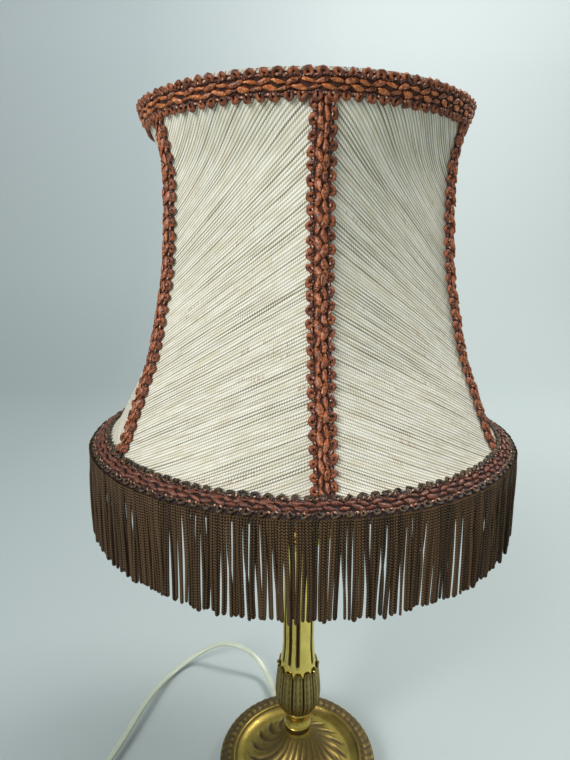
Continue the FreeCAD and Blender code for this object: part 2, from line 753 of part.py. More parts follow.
keep("candle_cup", turned("candle_cup", [
    (rod_hole, pan_top),
    (S.socket_foot_radius, pan_top),
    (S.socket_foot_radius, pan_top + S.socket_lip_height, S.socket_foot_bow, -1),
    (S.socket_waist_radius, pan_top + S.socket_lip_height + S.socket_stem, S.socket_belly_bow, 1),
    (S.socket_belly_radius, belly_height),
    (S.socket_belly_radius, lip_base),
    (S.socket_lip_radius, lip_base),
    (S.socket_lip_radius, socket_top),
    (socket_inside, socket_top),
    (socket_inside, plate_seat),
    (socket_inside - S.socket_wall, plate_seat),
    (socket_inside - S.socket_wall, belly_height),
    (rod_hole, pan_top + S.socket_lip_height + S.socket_stem),
]))
keep("cup_plate", turned("cup_plate", rectangle(rod_hole, socket_inside - S.gap, plate_seat, socket_top)))
holder_seat = socket_top + S.spacer_height
keep("spacer_tube", turned("spacer_tube", rectangle(rod_hole, S.spacer_radius, socket_top, holder_seat)))

# Tie rod with its washer and nut under the dome.
washer_top = S.dome_ceiling
nut_top = washer_top - S.washer_thickness
rod_length = holder_seat + S.rod_into_holder - S.rod_foot
keep("tie_rod", turned("tie_rod", rectangle(S.rod_bore, S.rod_radius, S.rod_foot, S.rod_foot + rod_length)))
keep("tie_washer", turned("tie_washer", rectangle(rod_hole, S.washer_radius, nut_top, washer_top)))
nut = new_body("tie_nut")
nut_foot = nut_top - S.nut_height
nut_flat = S.nut_across_flats / 2
nut_corner = S.nut_across_flats / math.sqrt(3)
hexagon = new_sketch(nut, "nut_hexagon", "XY_Plane", nut_foot)
draw(hexagon, [
    (nut_corner, 0), (nut_corner / 2, nut_flat), (-nut_corner / 2, nut_flat),
    (-nut_corner, 0), (-nut_corner / 2, -nut_flat), (nut_corner / 2, -nut_flat),
])
pad(nut, "nut_block", hexagon, S.nut_height)
nut_bore = new_sketch(nut, "nut_bore", "XY_Plane", nut_foot)
circle(nut_bore, S.rod_radius + S.thread_gap)
pocket(nut, "nut_bore_cut", nut_bore, S.nut_height + S.overrun)
keep("tie_nut", nut)

# Lampholder: cap, threaded skirt with the flange, insulator, screw shell and centre contact.
cap_top = holder_seat + S.holder_cap_height
cap_inside = S.holder_radius - S.holder_wall
thread_hole = S.rod_radius + S.thread_gap
shoulder = holder_seat + S.holder_neck_height
keep("holder_cap", turned("holder_cap", [
    (thread_hole, holder_seat),
    (S.holder_neck_radius, holder_seat),
    (S.holder_neck_radius, shoulder, S.holder_cap_bow, 1),
    (S.holder_radius, shoulder + S.holder_neck_radius),
    (S.holder_radius, cap_top),
    (cap_inside, cap_top),
    (cap_inside, shoulder + S.holder_neck_radius),
    (thread_hole, shoulder + S.holder_wall),
]))
flange_seat = cap_top + S.flange_height
flange_top = flange_seat + S.flange_thickness
skirt_inside = S.skirt_radius - S.holder_wall
skirt_top = cap_top + S.skirt_height
keep("holder_skirt", turned("holder_skirt", [
    (skirt_inside, cap_top),
    (S.skirt_radius, cap_top),
    (S.skirt_radius, flange_seat),
    (S.flange_radius, flange_seat),
    (S.flange_radius, flange_top),
    (S.skirt_radius, flange_top),
    (S.skirt_radius, skirt_top),
    (skirt_inside, skirt_top),
]))
core_foot = cap_top - S.core_floor_rise
core_top = core_foot + S.core_height
core_bore = S.shell_bore + S.shell_wall + S.gap
core_neck = core_bore + S.core_collar_wall
core_radius = cap_inside - S.gap
keep("holder_core", turned("holder_core", [
    (0, core_foot),
    (core_radius, core_foot),
    (core_radius, core_top),
    (core_neck, core_top),
    (core_neck, core_top + S.core_collar_height),
    (core_bore, core_top + S.core_collar_height),
    (core_bore, core_top),
    (0, core_top),
]))
shell_radius = S.shell_bore + S.shell_wall
keep("holder_screw_shell", turned(
    "holder_screw_shell", rectangle(S.shell_bore, shell_radius, core_top, core_top + S.shell_height)
))
tongue_top = core_top + S.tongue_height
keep("holder_contact", cylinder("holder_contact", S.tongue_radius, S.tongue_height, z=core_top))

# Bulb: centre contact, screw cap and an opal globe.
bulb_seat = tongue_top + S.gap
bulb_cap_foot = bulb_seat + S.bulb_contact_height
bulb_cap_top = bulb_cap_foot + S.bulb_cap_height
bulb_crown = bulb_seat + S.bulb_length
globe_centre = bulb_crown - S.bulb_radius
shoulder_radius = S.bulb_radius * S.bulb_shoulder_share
shoulder_fall = S.bulb_radius * math.sqrt(1 - float(S.bulb_shoulder_share) ** 2)
inner_globe = S.bulb_radius - S.bulb_wall
keep("bulb_contact", cylinder("bulb_contact", S.bulb_contact_radius, S.bulb_contact_height, z=bulb_seat))
cap_hollow = S.bulb_cap_radius - S.bulb_cap_wall
keep("bulb_cap", turned("bulb_cap", [
    (0, bulb_cap_foot),
    (S.bulb_contact_radius, bulb_cap_foot),
    (S.bulb_cap_radius, bulb_cap_foot + S.bulb_contact_height),
    (S.bulb_cap_radius, bulb_cap_top),
    (cap_hollow, bulb_cap_top),
    (cap_hollow, bulb_cap_foot + S.bulb_contact_height + S.bulb_cap_wall),
    (0, bulb_cap_foot + S.bulb_contact_height),
]))
keep("bulb_glass", turned("bulb_glass", [
    (S.bulb_neck_radius - S.bulb_wall, bulb_cap_top),
    (S.bulb_neck_radius, bulb_cap_top, S.bulb_neck_bow, -1),
    (shoulder_radius, globe_centre - shoulder_fall, S.bulb_radius, 1),
    (S.bulb_radius, globe_centre, S.bulb_radius, 1),
    (0, bulb_crown),
    (0, bulb_crown - S.bulb_wall, inner_globe, -1),
    (inner_globe, globe_centre, inner_globe, -1),
    (shoulder_radius - S.bulb_wall, globe_centre - shoulder_fall, S.bulb_neck_bow, 1),
]))

# Shade frame: fitter ring, three arms, two rings and six ribs.
fitter_seat = flange_top + S.running_gap
fitter_middle = fitter_seat + S.fitter_thickness / 2
frame_foot = fitter_middle - S.spider_rise
frame_head = frame_foot + S.shade_rise
keep("fitter_ring", turned("fitter_ring", rectangle(
    S.fitter_bore, S.fitter_radius, fitter_seat, fitter_seat + S.fitter_thickness
)))
for node, radius, height in (("top_wire", S.top_ring_radius, frame_head),
                             ("bottom_wire", S.bottom_ring_radius, frame_foot)):
    ring = doc.addObject("Part::Torus", node)
    ring.setExpression("Radius1", radius.text)
    ring.setExpression("Radius2", S.wire_radius.text)
    keep(node, place(ring, z=height))


def arm(degrees):
    """One wire of the spider, from the fitter ring's edge down to the lower ring."""
    start = polar(float(S.fitter_radius + S.gap), degrees, float(fitter_middle))
    ring = polar(float(S.bottom_ring_radius), degrees, float(frame_foot))
    way = (ring - start).normalize()
    length = (ring - start).Length - float(S.wire_radius + S.gap)
    return Part.makeCylinder(float(S.wire_radius), length, start, way)


first_arm = 270.0 + float(S.arm_offset)
arms = [arm(first_arm + 360.0 * k / float(S.arm_count)) for k in range(int(float(S.arm_count)))]
keep("fitter_arms", shaped("fitter_arms", Part.makeCompound(arms)))

# The ribs' centre line as (share of the height, share of the flare from the waist) points. The upper
# flare counts above the waist and the lower one below it.
LOWER_RIB_SHARES = (
    (0.0, 1.0), (0.036, 0.756), (0.069, 0.667), (0.129, 0.568), (0.214, 0.434),
    (0.300, 0.296), (0.428, 0.165), (0.557, 0.062), (0.718, 0.009), (0.841, 0.0),
)
UPPER_RIB_SHARES = ((0.955, 0.571), (1.0, 1.0))
# How full each panel's level section is between its ribs, from 0 for a straight chord to 1 for round.
FULLNESS_SHARES = (
    (0.0, 1.0), (0.036, 0.97), (0.069, 0.92), (0.129, 0.8), (0.214, 0.62), (0.300, 0.47),
    (0.428, 0.30), (0.557, 0.18), (0.718, 0.14), (0.841, 0.28), (0.955, 0.85), (1.0, 1.0),
)


def rib_curve():
    waist = float(S.waist_radius)
    points = []
    for shares, flare in ((LOWER_RIB_SHARES, S.bottom_ring_radius), (UPPER_RIB_SHARES, S.top_ring_radius)):
        for up, out in shares:
            radius = waist + (float(flare) - waist) * out
            points.append(V(radius, 0, float(frame_foot) + float(S.shade_rise) * up))
    curve = Part.BSplineCurve()
    curve.interpolate(points)
    return curve


rib = rib_curve()
RIB_STEPS = 240


def beside_rib(offset):
    """Points (radius, height) at an offset outside the ribs' centre line, run on past both ends."""
    first, last = rib.FirstParameter, rib.LastParameter
    line = []
    for k in range(RIB_STEPS + 1):
        at = first + (last - first) * k / RIB_STEPS
        spot = rib.value(at)
        way = rib.tangent(at)[0]
        line.append(V(spot.x + way.z * offset, 0, spot.z - way.x * offset))
    start = line[0] - rib.tangent(first)[0] * float(S.cloth_over_bottom)
    end = line[-1] + rib.tangent(last)[0] * float(S.cloth_over_top)
    return [start] + line + [end]


def radius_at(line, height):
    for low, high in zip(line, line[1:]):
        if height <= high.z:
            return low.x + (high.x - low.x) * (height - low.z) / (high.z - low.z)
    return line[-1].x


def fullness(height):
    share = (height - float(frame_foot)) / float(S.shade_rise)
    for low, high in zip(FULLNESS_SHARES, FULLNESS_SHARES[1:]):
        if share <= high[0]:
            return low[1] + (high[1] - low[1]) * max(share - low[0], 0.0) / (high[0] - low[0])
    return FULLNESS_SHARES[-1][1]


panel_step = 360.0 / float(S.rib_count)
cloth_inner = beside_rib(float(S.wire_radius + S.cloth_gap))
cloth_outer = beside_rib(float(S.wire_radius + S.cloth_gap + S.cloth))
cloth_foot = cloth_outer[0].z
cloth_head = cloth_inner[-1].z


def middle_radius(at_rib, height):
    """The radius of a panel's middle, where its radius at the ribs is given."""
    chord = at_rib * math.cos(math.radians(panel_step / 2))
    return chord + (at_rib - chord) * fullness(height)


def panel():
    """One panel, from the rib at the front to the next one."""
    height_shares = (0.0, 0.03, 0.075, 0.135, 0.22, 0.33, 0.46, 0.62, 0.78, 0.88, 0.95, 1.0)
    wires = []
    for share in height_shares:
        height = cloth_foot + (cloth_head - cloth_foot) * share
        sides = []
        for line in (cloth_outer, cloth_inner):
            radius = radius_at(line, height)
            trim = math.degrees(float(S.panel_gap) / 2 / radius)
            ends = [polar(radius, 270.0 + a, height) for a in (trim, panel_step - trim)]
            middle = polar(middle_radius(radius, height), 270.0 + panel_step / 2, height)
            sides.append((ends[0], middle, ends[1]))
        (a, b, c), (d, e, f) = sides
        wires.append(Part.Wire([
            Part.Arc(a, b, c).toShape(), Part.LineSegment(c, f).toShape(),
            Part.Arc(f, e, d).toShape(), Part.LineSegment(d, a).toShape(),
        ]))
    return Part.makeLoft(wires, True, False)


def rib_wire():
    """One rib, its ends just clear of the two rings."""
    first, last = rib.FirstParameter, rib.LastParameter
    reach = float(S.wire_radius + S.gap)
    line = rib.toShape()
    start = rib.parameterAtDistance(reach, first)
    end = rib.parameterAtDistance(line.Length - reach, first)
    way = rib.tangent(start)[0]
    profile = Part.Wire([Part.Circle(rib.value(start), way, float(S.wire_radius)).toShape()])
    return Part.Wire([rib.toShape(start, end)]).makePipeShell([profile], True, False)


# The bands of braid on the fabric: a slanted one over the lower ring, an upright one over the upper.
def band_start():
    """The place on the outer fabric line one braid's width up from its lower end."""
    total = 0.0
    for number, (low, high) in enumerate(zip(cloth_outer, cloth_outer[1:])):
        total += (high - low).Length
        if total >= float(S.braid_width):
            return number + 1
    return len(cloth_outer) - 1


def pushed(number, offset):
    """A point of the outer fabric line, moved out along its normal."""
    before = cloth_outer[max(number - 1, 0)]
    after = cloth_outer[min(number + 1, len(cloth_outer) - 1)]
    way = (after - before).normalize()
    return cloth_outer[number] + V(way.z, 0, -way.x) * offset


band_top = band_start()
band_inner = [pushed(k, float(S.cloth_gap)) for k in (0, band_top // 2, band_top)]
band_outer = [
    pushed(0, float(S.cloth_gap + S.braid_edge)),
    pushed(band_top // 2, float(S.cloth_gap + S.braid_thickness)),
    pushed(band_top, float(S.cloth_gap + S.braid_edge)),
]
band_face = Part.Face(Part.Wire([
    Part.Arc(*band_inner).toShape(),
    Part.LineSegment(band_inner[2], band_outer[2]).toShape(),
    Part.Arc(*reversed(band_outer)).toShape(),
    Part.LineSegment(band_outer[0], band_inner[0]).toShape(),
]))
keep("bottom_braid", shaped("bottom_braid", band_face.revolve(V(), V(0, 0, 1), 360)))

top_braid_head = cloth_head + float(S.braid_over_top)
top_braid_foot = top_braid_head - float(S.braid_width)
top_inner = [
    V(radius_at(cloth_outer, height) + float(S.cloth_gap), 0, height)
    for height in (top_braid_foot, top_braid_head)
]
top_outer = [spot + V(float(S.braid_edge), 0, 0) for spot in top_inner]
top_crown = (top_outer[0] + top_outer[1]) * 0.5 + V(float(S.braid_thickness - S.braid_edge), 0, 0)
top_face = Part.Face(Part.Wire([
    Part.LineSegment(top_inner[1], top_inner[0]).toShape(),
    Part.LineSegment(top_inner[0], top_outer[0]).toShape(),
    Part.Arc(top_outer[0], top_crown, top_outer[1]).toShape(),
    Part.LineSegment(top_outer[1], top_inner[1]).toShape(),
]))
keep("top_braid", shaped("top_braid", top_face.revolve(V(), V(0, 0, 1), 360)))


def rib_braid():
    """One braid, folded over the front rib, between the two bands."""
    low = band_outer[2].z + float(S.running_gap)
    high = top_braid_foot - float(S.running_gap)
    height_shares = (0.0, 0.05, 0.12, 0.22, 0.34, 0.48, 0.64, 0.8, 0.92, 1.0)
    half = float(S.braid_width) / 2
    wires = []
    for share in height_shares:
        height = low + (high - low) * share
        radius = radius_at(cloth_outer, height)
        fold = math.radians(panel_step / 2) * (1 - fullness(height))
        drop = half * math.tan(fold) + radius - math.sqrt(radius * radius - half * half)
        step = float(S.braid_edge)
        rise = radius_at(cloth_outer, height - step) - radius_at(cloth_outer, height + step)
        tilt = math.hypot(1, rise / (step + step))
        gap = float(S.cloth_gap) * tilt
        crown = radius + gap + float(S.braid_thickness) * tilt
        edge = radius - drop + gap
        outer_edge = edge + float(S.braid_edge) * tilt
        inner = [V(-half, -edge, height), V(0, -radius - gap, height), V(half, -edge, height)]
        outer = [V(-half, -outer_edge, height), V(0, -crown, height), V(half, -outer_edge, height)]
        wires.append(Part.Wire([
            Part.Arc(*outer).toShape(),
            Part.LineSegment(outer[2], inner[2]).toShape(),
            Part.Arc(*reversed(inner)).toShape(),
            Part.LineSegment(inner[0], outer[0]).toShape(),
        ]))
    return Part.makeLoft(wires, True, False)


# Each rib, panel and braid is made once and set round the axis. A rib is made along +X, a braid
# over -Y and a panel from -Y on.
RIB_PIECES = (("rib_wire", rib_wire(), 270.0), ("panel", panel(), 0.0), ("rib_braid", rib_braid(), 0.0))
for node, shape, offset in RIB_PIECES:
    for number in range(int(float(S.rib_count))):
        piece = shaped(f"{node}_{number + 1}", shape)
        piece.Placement = FreeCAD.Placement(V(), FreeCAD.Rotation(V(0, 0, 1), offset + panel_step * number))
        keep(f"{node}_{number + 1}", piece)


def fringe():
    """A skirt of hanging bunches: a creased ring, its strands side by side."""
    count = int(float(S.fringe_count))
    inside = float(S.bottom_ring_radius + S.wire_radius + S.fringe_clearance)
    crest = inside + float(S.fringe_thickness)
    top = cloth_foot - float(S.running_gap)
    crease = crest - float(S.fringe_crease)
    outer = Part.Face(lobed_wire(crest, crease, top - float(S.fringe_length), count, 0.0))
    inner = Part.Face(Part.Wire([Part.Circle(
        V(0, 0, top - float(S.fringe_length)), V(0, 0, 1), inside
    ).toShape()]))
    return outer.cut(inner).extrude(V(0, 0, float(S.fringe_length)))


keep("fringe", shaped("fringe", fringe()))

# Shade ring: screwed on the skirt, over the fitter ring.
ring_seat = fitter_seat + S.fitter_thickness + S.running_gap
ring_body = turned("shade_ring", rectangle(
    S.skirt_radius + S.running_gap, S.ring_radius, ring_seat, ring_seat + S.ring_height
))
grip_sketch = new_sketch(ring_body, "ring_grip", "XY_Plane", ring_seat)
circle(grip_sketch, S.ring_grip_radius, S.ring_radius + S.ring_grip_radius / 2)
grip = pocket(ring_body, "ring_grip_cut", grip_sketch, S.ring_height + S.overrun)
grips = ring_body.newObject("PartDesign::PolarPattern", "ring_grips_cut")
grips.Originals = [grip]
grips.Axis = (own_plane(ring_body, "Z_Axis"), [""])
grips.Angle = 360
grips.Occurrences = int(float(S.ring_grips))
grips.setExpression("Occurrences", S.ring_grips.text)
ring_body.Tip = grips
keep("shade_ring", ring_body)


# Flex. A route is a row of points joined by straight runs, each corner rounded by an arc that takes
# the same share of the shorter run beside it.
ARC_SHARE = 0.45


def route_wire(name, points):
    """A wire of runs and tangent arcs through a route, whose radii are printed."""
    edges = []
    radii = []
    at = points[0]
    for before, corner, after in zip(points, points[1:], points[2:]):
        back = (before - corner)
        ahead = (after - corner)
        turn = math.pi - back.getAngle(ahead)
        take = ARC_SHARE * min(back.Length, ahead.Length)
        radius = take / math.tan(turn / 2)
        radii.append(radius)
        start = corner + back.normalize() * take
        end = corner + ahead.normalize() * take
        bisector = (back + ahead).normalize()
        middle = corner + bisector * (radius / math.cos(turn / 2) - radius)
        edges.append(Part.LineSegment(at, start).toShape())
        edges.append(Part.Arc(start, middle, end).toShape())
        at = end
    edges.append(Part.LineSegment(at, points[-1]).toShape())
    print(name, "radii", [round(r, 1) for r in radii])
    return Part.Wire(edges)


def tube(name, wire):
    """A round tube along a wire, whose volume is compared with its section times its length."""
    start = wire.OrderedEdges[0]
    spot = start.valueAt(start.FirstParameter)
    way = start.tangentAt(start.FirstParameter)
    profile = Part.Wire([Part.Circle(spot, way, float(S.flex) / 2).toShape()])
    solid = wire.makePipeShell([profile], True, False)
    section = math.pi * float(S.flex) ** 2 / 4
    share = solid.Volume / section / wire.Length
    print(name, "length", round(wire.Length, 1), "volume share", round(share, 4))
    return solid


outlet = polar(1.0, float(S.cord_azimuth))
bush_end = bush_start + S.bush_length
flex_height = S.flex / 2
exit_point = outlet * float(bush_end) + V(0, 0, float(S.cord_height))
switch_height = S.switch_base_height
switch_entry = V(float(S.switch_x), float(S.switch_near), float(switch_height))
LAMP_SIDE_ROUTE = (
    (-18.3, 86.0, 6.6), (-25.5, 98.6, 12.6), (-38.5, 106.2, 22.0), (-56.9, 113.4, 24.5),
    (-75.8, 118.9, 15.4), (-93.7, 115.0, 5.8), (-110.0, 99.0, 3.6), (-121.0, 76.5, 6.5),
    (-129.5, 52.0, 7.5), (-136.5, 29.0, 6.5), (-143.8, 9.0, 6.3), (-150.0, -7.0, 8.5),
)
lamp_side = [exit_point] + [V(*p) for p in LAMP_SIDE_ROUTE] + [switch_entry]
lamp_run = route_wire("flex_lamp_side", lamp_side)
keep("flex_lamp_side", shaped("flex_lamp_side", tube("flex_lamp_side", lamp_run)))

switch_far = S.switch_near - S.switch_length
switch_exit = V(float(S.switch_x), float(switch_far), float(switch_height))
coil_start = V(float(S.coil_x - S.coil_lead), float(S.coil_y - S.coil_radius), float(flex_height))
PLUG_SIDE_ROUTE = (
    (-150.0, -97.6, 8.5), (-145.6, -108.3, 6.6), (-137.4, -116.5, 4.4), (-126.7, -121.0, 3.0),
    (-112.6, -121.0, 2.5),
)
plug_side = [switch_exit] + [V(*p) for p in PLUG_SIDE_ROUTE] + [coil_start]
plug_run = route_wire("flex_plug_side", plug_side)
keep("flex_plug_side", shaped("flex_plug_side", tube("flex_plug_side", plug_run)))


def coil_place(turn):
    """The coil's centre line at a number of turns, and its direction there."""
    turns = float(S.coil_turns)
    climb = 0.25
    pitch = float(S.coil_pitch)
    past = turn - turns
    if abs(past) >= climb:
        radius = float(S.coil_radius) - pitch * (turns - abs(past))
        widen = pitch if past > 0 else -pitch
        height = float(flex_height) + (float(S.coil_layer) if past > 0 else 0.0)
        rise = 0.0
    else:
        radius = float(S.coil_radius) - pitch * (turns - (past * past / climb + climb) / 2)
        widen = pitch * past / climb
        ease = (past / climb + 1) * math.pi / 2
        height = float(flex_height) + float(S.coil_layer) * (1 - math.cos(ease)) / 2
        rise = float(S.coil_layer) * math.sin(ease) * math.pi / 4 / climb
    angle = math.tau * turn - math.pi / 2
    out = V(math.cos(angle), math.sin(angle), 0)
    round_ = V(-math.sin(angle), math.cos(angle), 0)
    spot = V(float(S.coil_x), float(S.coil_y), height) + out * radius
    way = out * widen + round_ * (math.tau * radius) + V(0, 0, rise)
    return spot, way.normalize()


def biarc(start, way_in, end, way_out):
    """Two arcs that leave start along way_in, meet in one direction and reach end along way_out."""
    chord = end - start
    ways = way_in + way_out
    square = 2 * (1 - way_in.dot(way_out))
    along = chord.dot(ways)
    arm_length = (math.sqrt(along * along + square * chord.dot(chord)) - along) / square
    near = start + way_in * arm_length
    far = end - way_out * arm_length
    joint = (near + far) * 0.5
    arcs = []
    for a, corner, b in ((start, near, joint), (joint, far, end)):
        back = (a - corner)
        ahead = (b - corner)
        turn = math.pi - back.getAngle(ahead)
        radius = back.Length / math.tan(turn / 2)
        bisector = (back.normalize() + ahead.normalize()).normalize()
        arcs.append(Part.Arc(a, corner + bisector * (radius / math.cos(turn / 2) - radius), b).toShape())
    return arcs


def coil_wire():
    """The put-away length: in and out again in two layers, with straight ends."""
    whole = float(S.coil_turns) * 2
    spans = int(round(whole * 4))
    spots = [coil_place(whole * k / spans) for k in range(spans + 1)]
    first = V(1, 0, 0)
    spots[0] = (spots[0][0], first)
    spots[-1] = (spots[-1][0], first)
    lead_start = spots[0][0] - first * float(S.coil_lead)
    edges = [Part.LineSegment(lead_start, spots[0][0]).toShape()]
    for (start, way_in), (end, way_out) in zip(spots, spots[1:]):
        edges += biarc(start, way_in, end, way_out)
    tail_end = spots[-1][0] + first * float(S.coil_tail)
    edges.append(Part.LineSegment(spots[-1][0], tail_end).toShape())
    return Part.Wire(edges)


def least_gap(name, wire):
    """Prints how near the tube comes to itself, measured on points of its centre line."""
    points = wire.discretize(Number=900)
    apart = wire.Length / 900
    skip = int(float(S.flex) * 3 / apart)
    least = min(
        (points[i] - points[j]).Length
        for i in range(0, len(points), 2)
        for j in range(i + skip, len(points), 2)
    )
    print(name, "least gap to itself", round(least - float(S.flex), 2))


coil = coil_wire()
least_gap("flex_coil", coil)
keep("flex_coil", shaped("flex_coil", tube("flex_coil", coil)))

# Flex inside the lamp, from the strain relief through the foot and up the tie rod.
INNER_ROUTE = ((46.0, 6.6), (32.0, 4.5), (17.5, 4.5), (5.5, 8.6), (0, 18.5), (0, 27.5))
inner_points = [exit_point] + [outlet * radius + V(0, 0, height) for radius, height in INNER_ROUTE]
inner_run = route_wire("inner_flex", inner_points)
inner_top = V(0, 0, float(core_foot - S.gap))
inner_wire = Part.Wire(inner_run.OrderedEdges + [Part.LineSegment(inner_points[-1], inner_top).toShape()])
keep("inner_flex", shaped("inner_flex", tube("inner_flex", inner_wire)))

# Inline switch: base, cover, rocker and two screws, along the cord.
switch_middle = S.switch_near - S.switch_length / 2
SWITCH_SHOULDER_SHARE = 0.62
SCREW_SIDE_SHARE = 0.28


def switch_half(node, low, height, rounded):
    """One half of the case: an outline that narrows to the cord ends."""
    body = new_body(node)
    end = S.switch_length / 2
    shoulder_at = end * SWITCH_SHOULDER_SHARE
    side = S.switch_width / 2
    nose = S.switch_nose / 2
    sketch = new_sketch(body, node + "_outline", "XY_Plane")
    draw(sketch, [
        (-nose, -end), (nose, -end), (side, -shoulder_at), (side, shoulder_at),
        (nose, end), (-nose, end), (-side, shoulder_at), (-side, -shoulder_at),
    ])
    block = pad(body, node + "_block", sketch, height)
    if rounded:
        doc.recompute()
        upper = [f"Edge{n + 1}" for n, e in enumerate(block.Shape.Edges)
                 if e.BoundBox.ZMin > float(height) - float(S.gap)]
        edge = body.newObject("PartDesign::Fillet", node + "_round")
        edge.Base = (block, upper)
        edge.setExpression("Radius", S.switch_round.text)
    return place(body, S.switch_x, switch_middle, low)


def inner_block(name, low, high):
    """The room inside the switch case."""
    block = doc.addObject("Part::Box", name)
    wide = S.switch_width - S.switch_wall * 2
    long = S.switch_length * SWITCH_SHOULDER_SHARE - S.switch_wall * 2
    block.setExpression("Length", wide.text)
    block.setExpression("Width", long.text)
    block.setExpression("Height", (high - low).text)
    return place(block, S.switch_x - wide / 2, switch_middle - long / 2, low)


def across(name, radius, length, x, y, z):
    """A round bar along +Y."""
    return cylinder(name, radius, length, x, y, z, -90, V(1, 0, 0))


split = S.switch_base_height
switch_top = split + S.switch_cover_height
base_block = switch_half("switch_base_block", 0, split, False)
cover_block = switch_half("switch_cover_block", split, S.switch_cover_height, True)
flex_slot = S.flex / 2 + S.gap
cord_slots = [
    across(
        f"switch_slot_{k}", flex_slot, S.switch_length + S.overrun * 2,
        S.switch_x, switch_far - S.overrun, split,
    )
    for k in range(2)
]
screw_places = [switch_middle - S.screw_spread / 2, switch_middle + S.screw_spread / 2]


def screw_x(number):
    """The screws stand on either side of the cord."""
    return S.switch_x + S.switch_nose * SCREW_SIDE_SHARE * (1 - 2 * number)


def screw_holes(name, radius, low, high):
    return [
        cylinder(f"{name}_{k}", radius, high - low, screw_x(k), y, low)
        for k, y in enumerate(screw_places)
    ]


screw_foot = S.switch_wall
screw_shank = S.screw_radius + S.thread_gap
keep("switch_base", cut(
    "switch_base", base_block, cord_slots[0],
    inner_block("switch_base_room", S.switch_wall, split + S.overrun),
    *screw_holes("base_screw_hole", screw_shank, screw_foot, split + S.overrun),
))
window = doc.addObject("Part::Box", "rocker_window")
window_wide = S.rocker_width + S.running_gap * 2
window_long = S.rocker_length + S.running_gap * 4
window.setExpression("Length", window_wide.text)
window.setExpression("Width", window_long.text)
window.setExpression("Height", (S.switch_cover_height + S.overrun).text)
place(window, S.switch_x - window_wide / 2, switch_middle - window_long / 2, split)
head_hole = S.screw_head_radius + S.gap
head_foot = switch_top - S.screw_head
keep("switch_cover", cut(
    "switch_cover", cover_block, cord_slots[1], window,
    inner_block("switch_cover_room", split - S.overrun, switch_top - S.switch_wall),
    *screw_holes("cover_screw_hole", screw_shank, split - S.overrun, switch_top + S.overrun),
    *screw_holes("cover_screw_seat", head_hole, head_foot, switch_top + S.overrun),
))
screws = []
for k, y in enumerate(screw_places):
    shank = cylinder(f"screw_shank_{k}", S.screw_radius, head_foot - screw_foot, screw_x(k), y, screw_foot)
    head = cylinder(f"screw_head_{k}", S.screw_head_radius, S.screw_head, screw_x(k), y, head_foot)
    screws.append(fuse(f"screw_{k}", shank, head))
keep("switch_screws", group("switch_screws", *screws))
rocker = new_body("switch_rocker")
rocker_half = S.rocker_length / 2
barrel_across = S.rocker_barrel * cosine(S.barrel_angle)
barrel_low = S.rocker_barrel * sine(S.barrel_angle)
rocker_side = new_sketch(rocker, "rocker_side", "YZ_Plane")
draw(rocker_side, [
    (-barrel_across, -barrel_low, S.rocker_barrel, 1),
    (barrel_across, -barrel_low),
    (rocker_half, 0),
    (rocker_half, S.rocker_stand, S.rocker_bow, -1),
    (-rocker_half, S.rocker_stand),
    (-rocker_half, 0),
])
pad(rocker, "rocker_block", rocker_side, S.rocker_width, both_ways=True)
place(rocker, S.switch_x, switch_middle, switch_top, S.rocker_tilt, V(1, 0, 0))
keep("switch_rocker", rocker)

# Plug: a flat moulded body with a tapered strain relief and two round pins.
PLUG_SHOULDER_SHARE = 0.45
tail_cone = doc.addObject("Part::Cone", "plug_tail_cone")
tail_cone.setExpression("Radius1", S.plug_tail_radius.text)
tail_cone.setExpression("Radius2", S.plug_root_radius.text)
tail_cone.setExpression("Height", S.plug_tail.text)
tail_x = S.coil_x + S.coil_tail
axis_y = S.coil_y - S.coil_radius
axis_z = flex_height + S.coil_layer
place(tail_cone, tail_x, axis_y, axis_z, 90, V(0, 1, 0))
plug_case = new_body("plug_case")
plug_half = S.plug_width / 2
neck_half = S.plug_neck / 2
plug_shoulder = S.plug_length * PLUG_SHOULDER_SHARE
plug_outline = new_sketch(plug_case, "plug_outline", "XY_Plane")
draw(plug_outline, [
    (0, -neck_half), (plug_shoulder, -plug_half), (S.plug_length, -plug_half),
    (S.plug_length, plug_half), (plug_shoulder, plug_half), (0, neck_half),
])
plug_block = pad(plug_case, "plug_block", plug_outline, axis_z * 2, both_ways=True)
doc.recompute()
flat_edges = [f"Edge{n + 1}" for n, e in enumerate(plug_block.Shape.Edges)
              if e.BoundBox.ZLength < float(S.gap) and e.BoundBox.XMax > float(S.gap)]
plug_edges = plug_case.newObject("PartDesign::Fillet", "plug_round")
plug_edges.Base = (plug_block, flat_edges)
plug_edges.setExpression("Radius", S.plug_round.text)
case_x = tail_x + S.plug_tail
place(plug_case, case_x, axis_y, axis_z)
keep("plug_body", fuse("plug_body", tail_cone, plug_case))
pins = []
for k, side in enumerate((-1, 1)):
    pin_x = case_x + S.plug_length
    pin_y = axis_y + S.pin_spread / 2 * side
    shank_length = S.pin_length - S.pin_tip
    shank = cylinder(f"pin_shank_{k}", S.pin_radius, shank_length, pin_x, pin_y, axis_z, 90, V(0, 1, 0))
    tip = doc.addObject("Part::Cone", f"pin_tip_{k}")
    tip.setExpression("Radius1", S.pin_radius.text)
    tip.setExpression("Radius2", (S.pin_radius - S.pin_tip / 2).text)
    tip.setExpression("Height", S.pin_tip.text)
    place(tip, pin_x + S.pin_length - S.pin_tip, pin_y, axis_z, 90, V(0, 1, 0))
    pins.append(fuse(f"pin_{k}", shank, tip))
keep("plug_pins", group("plug_pins", *pins))

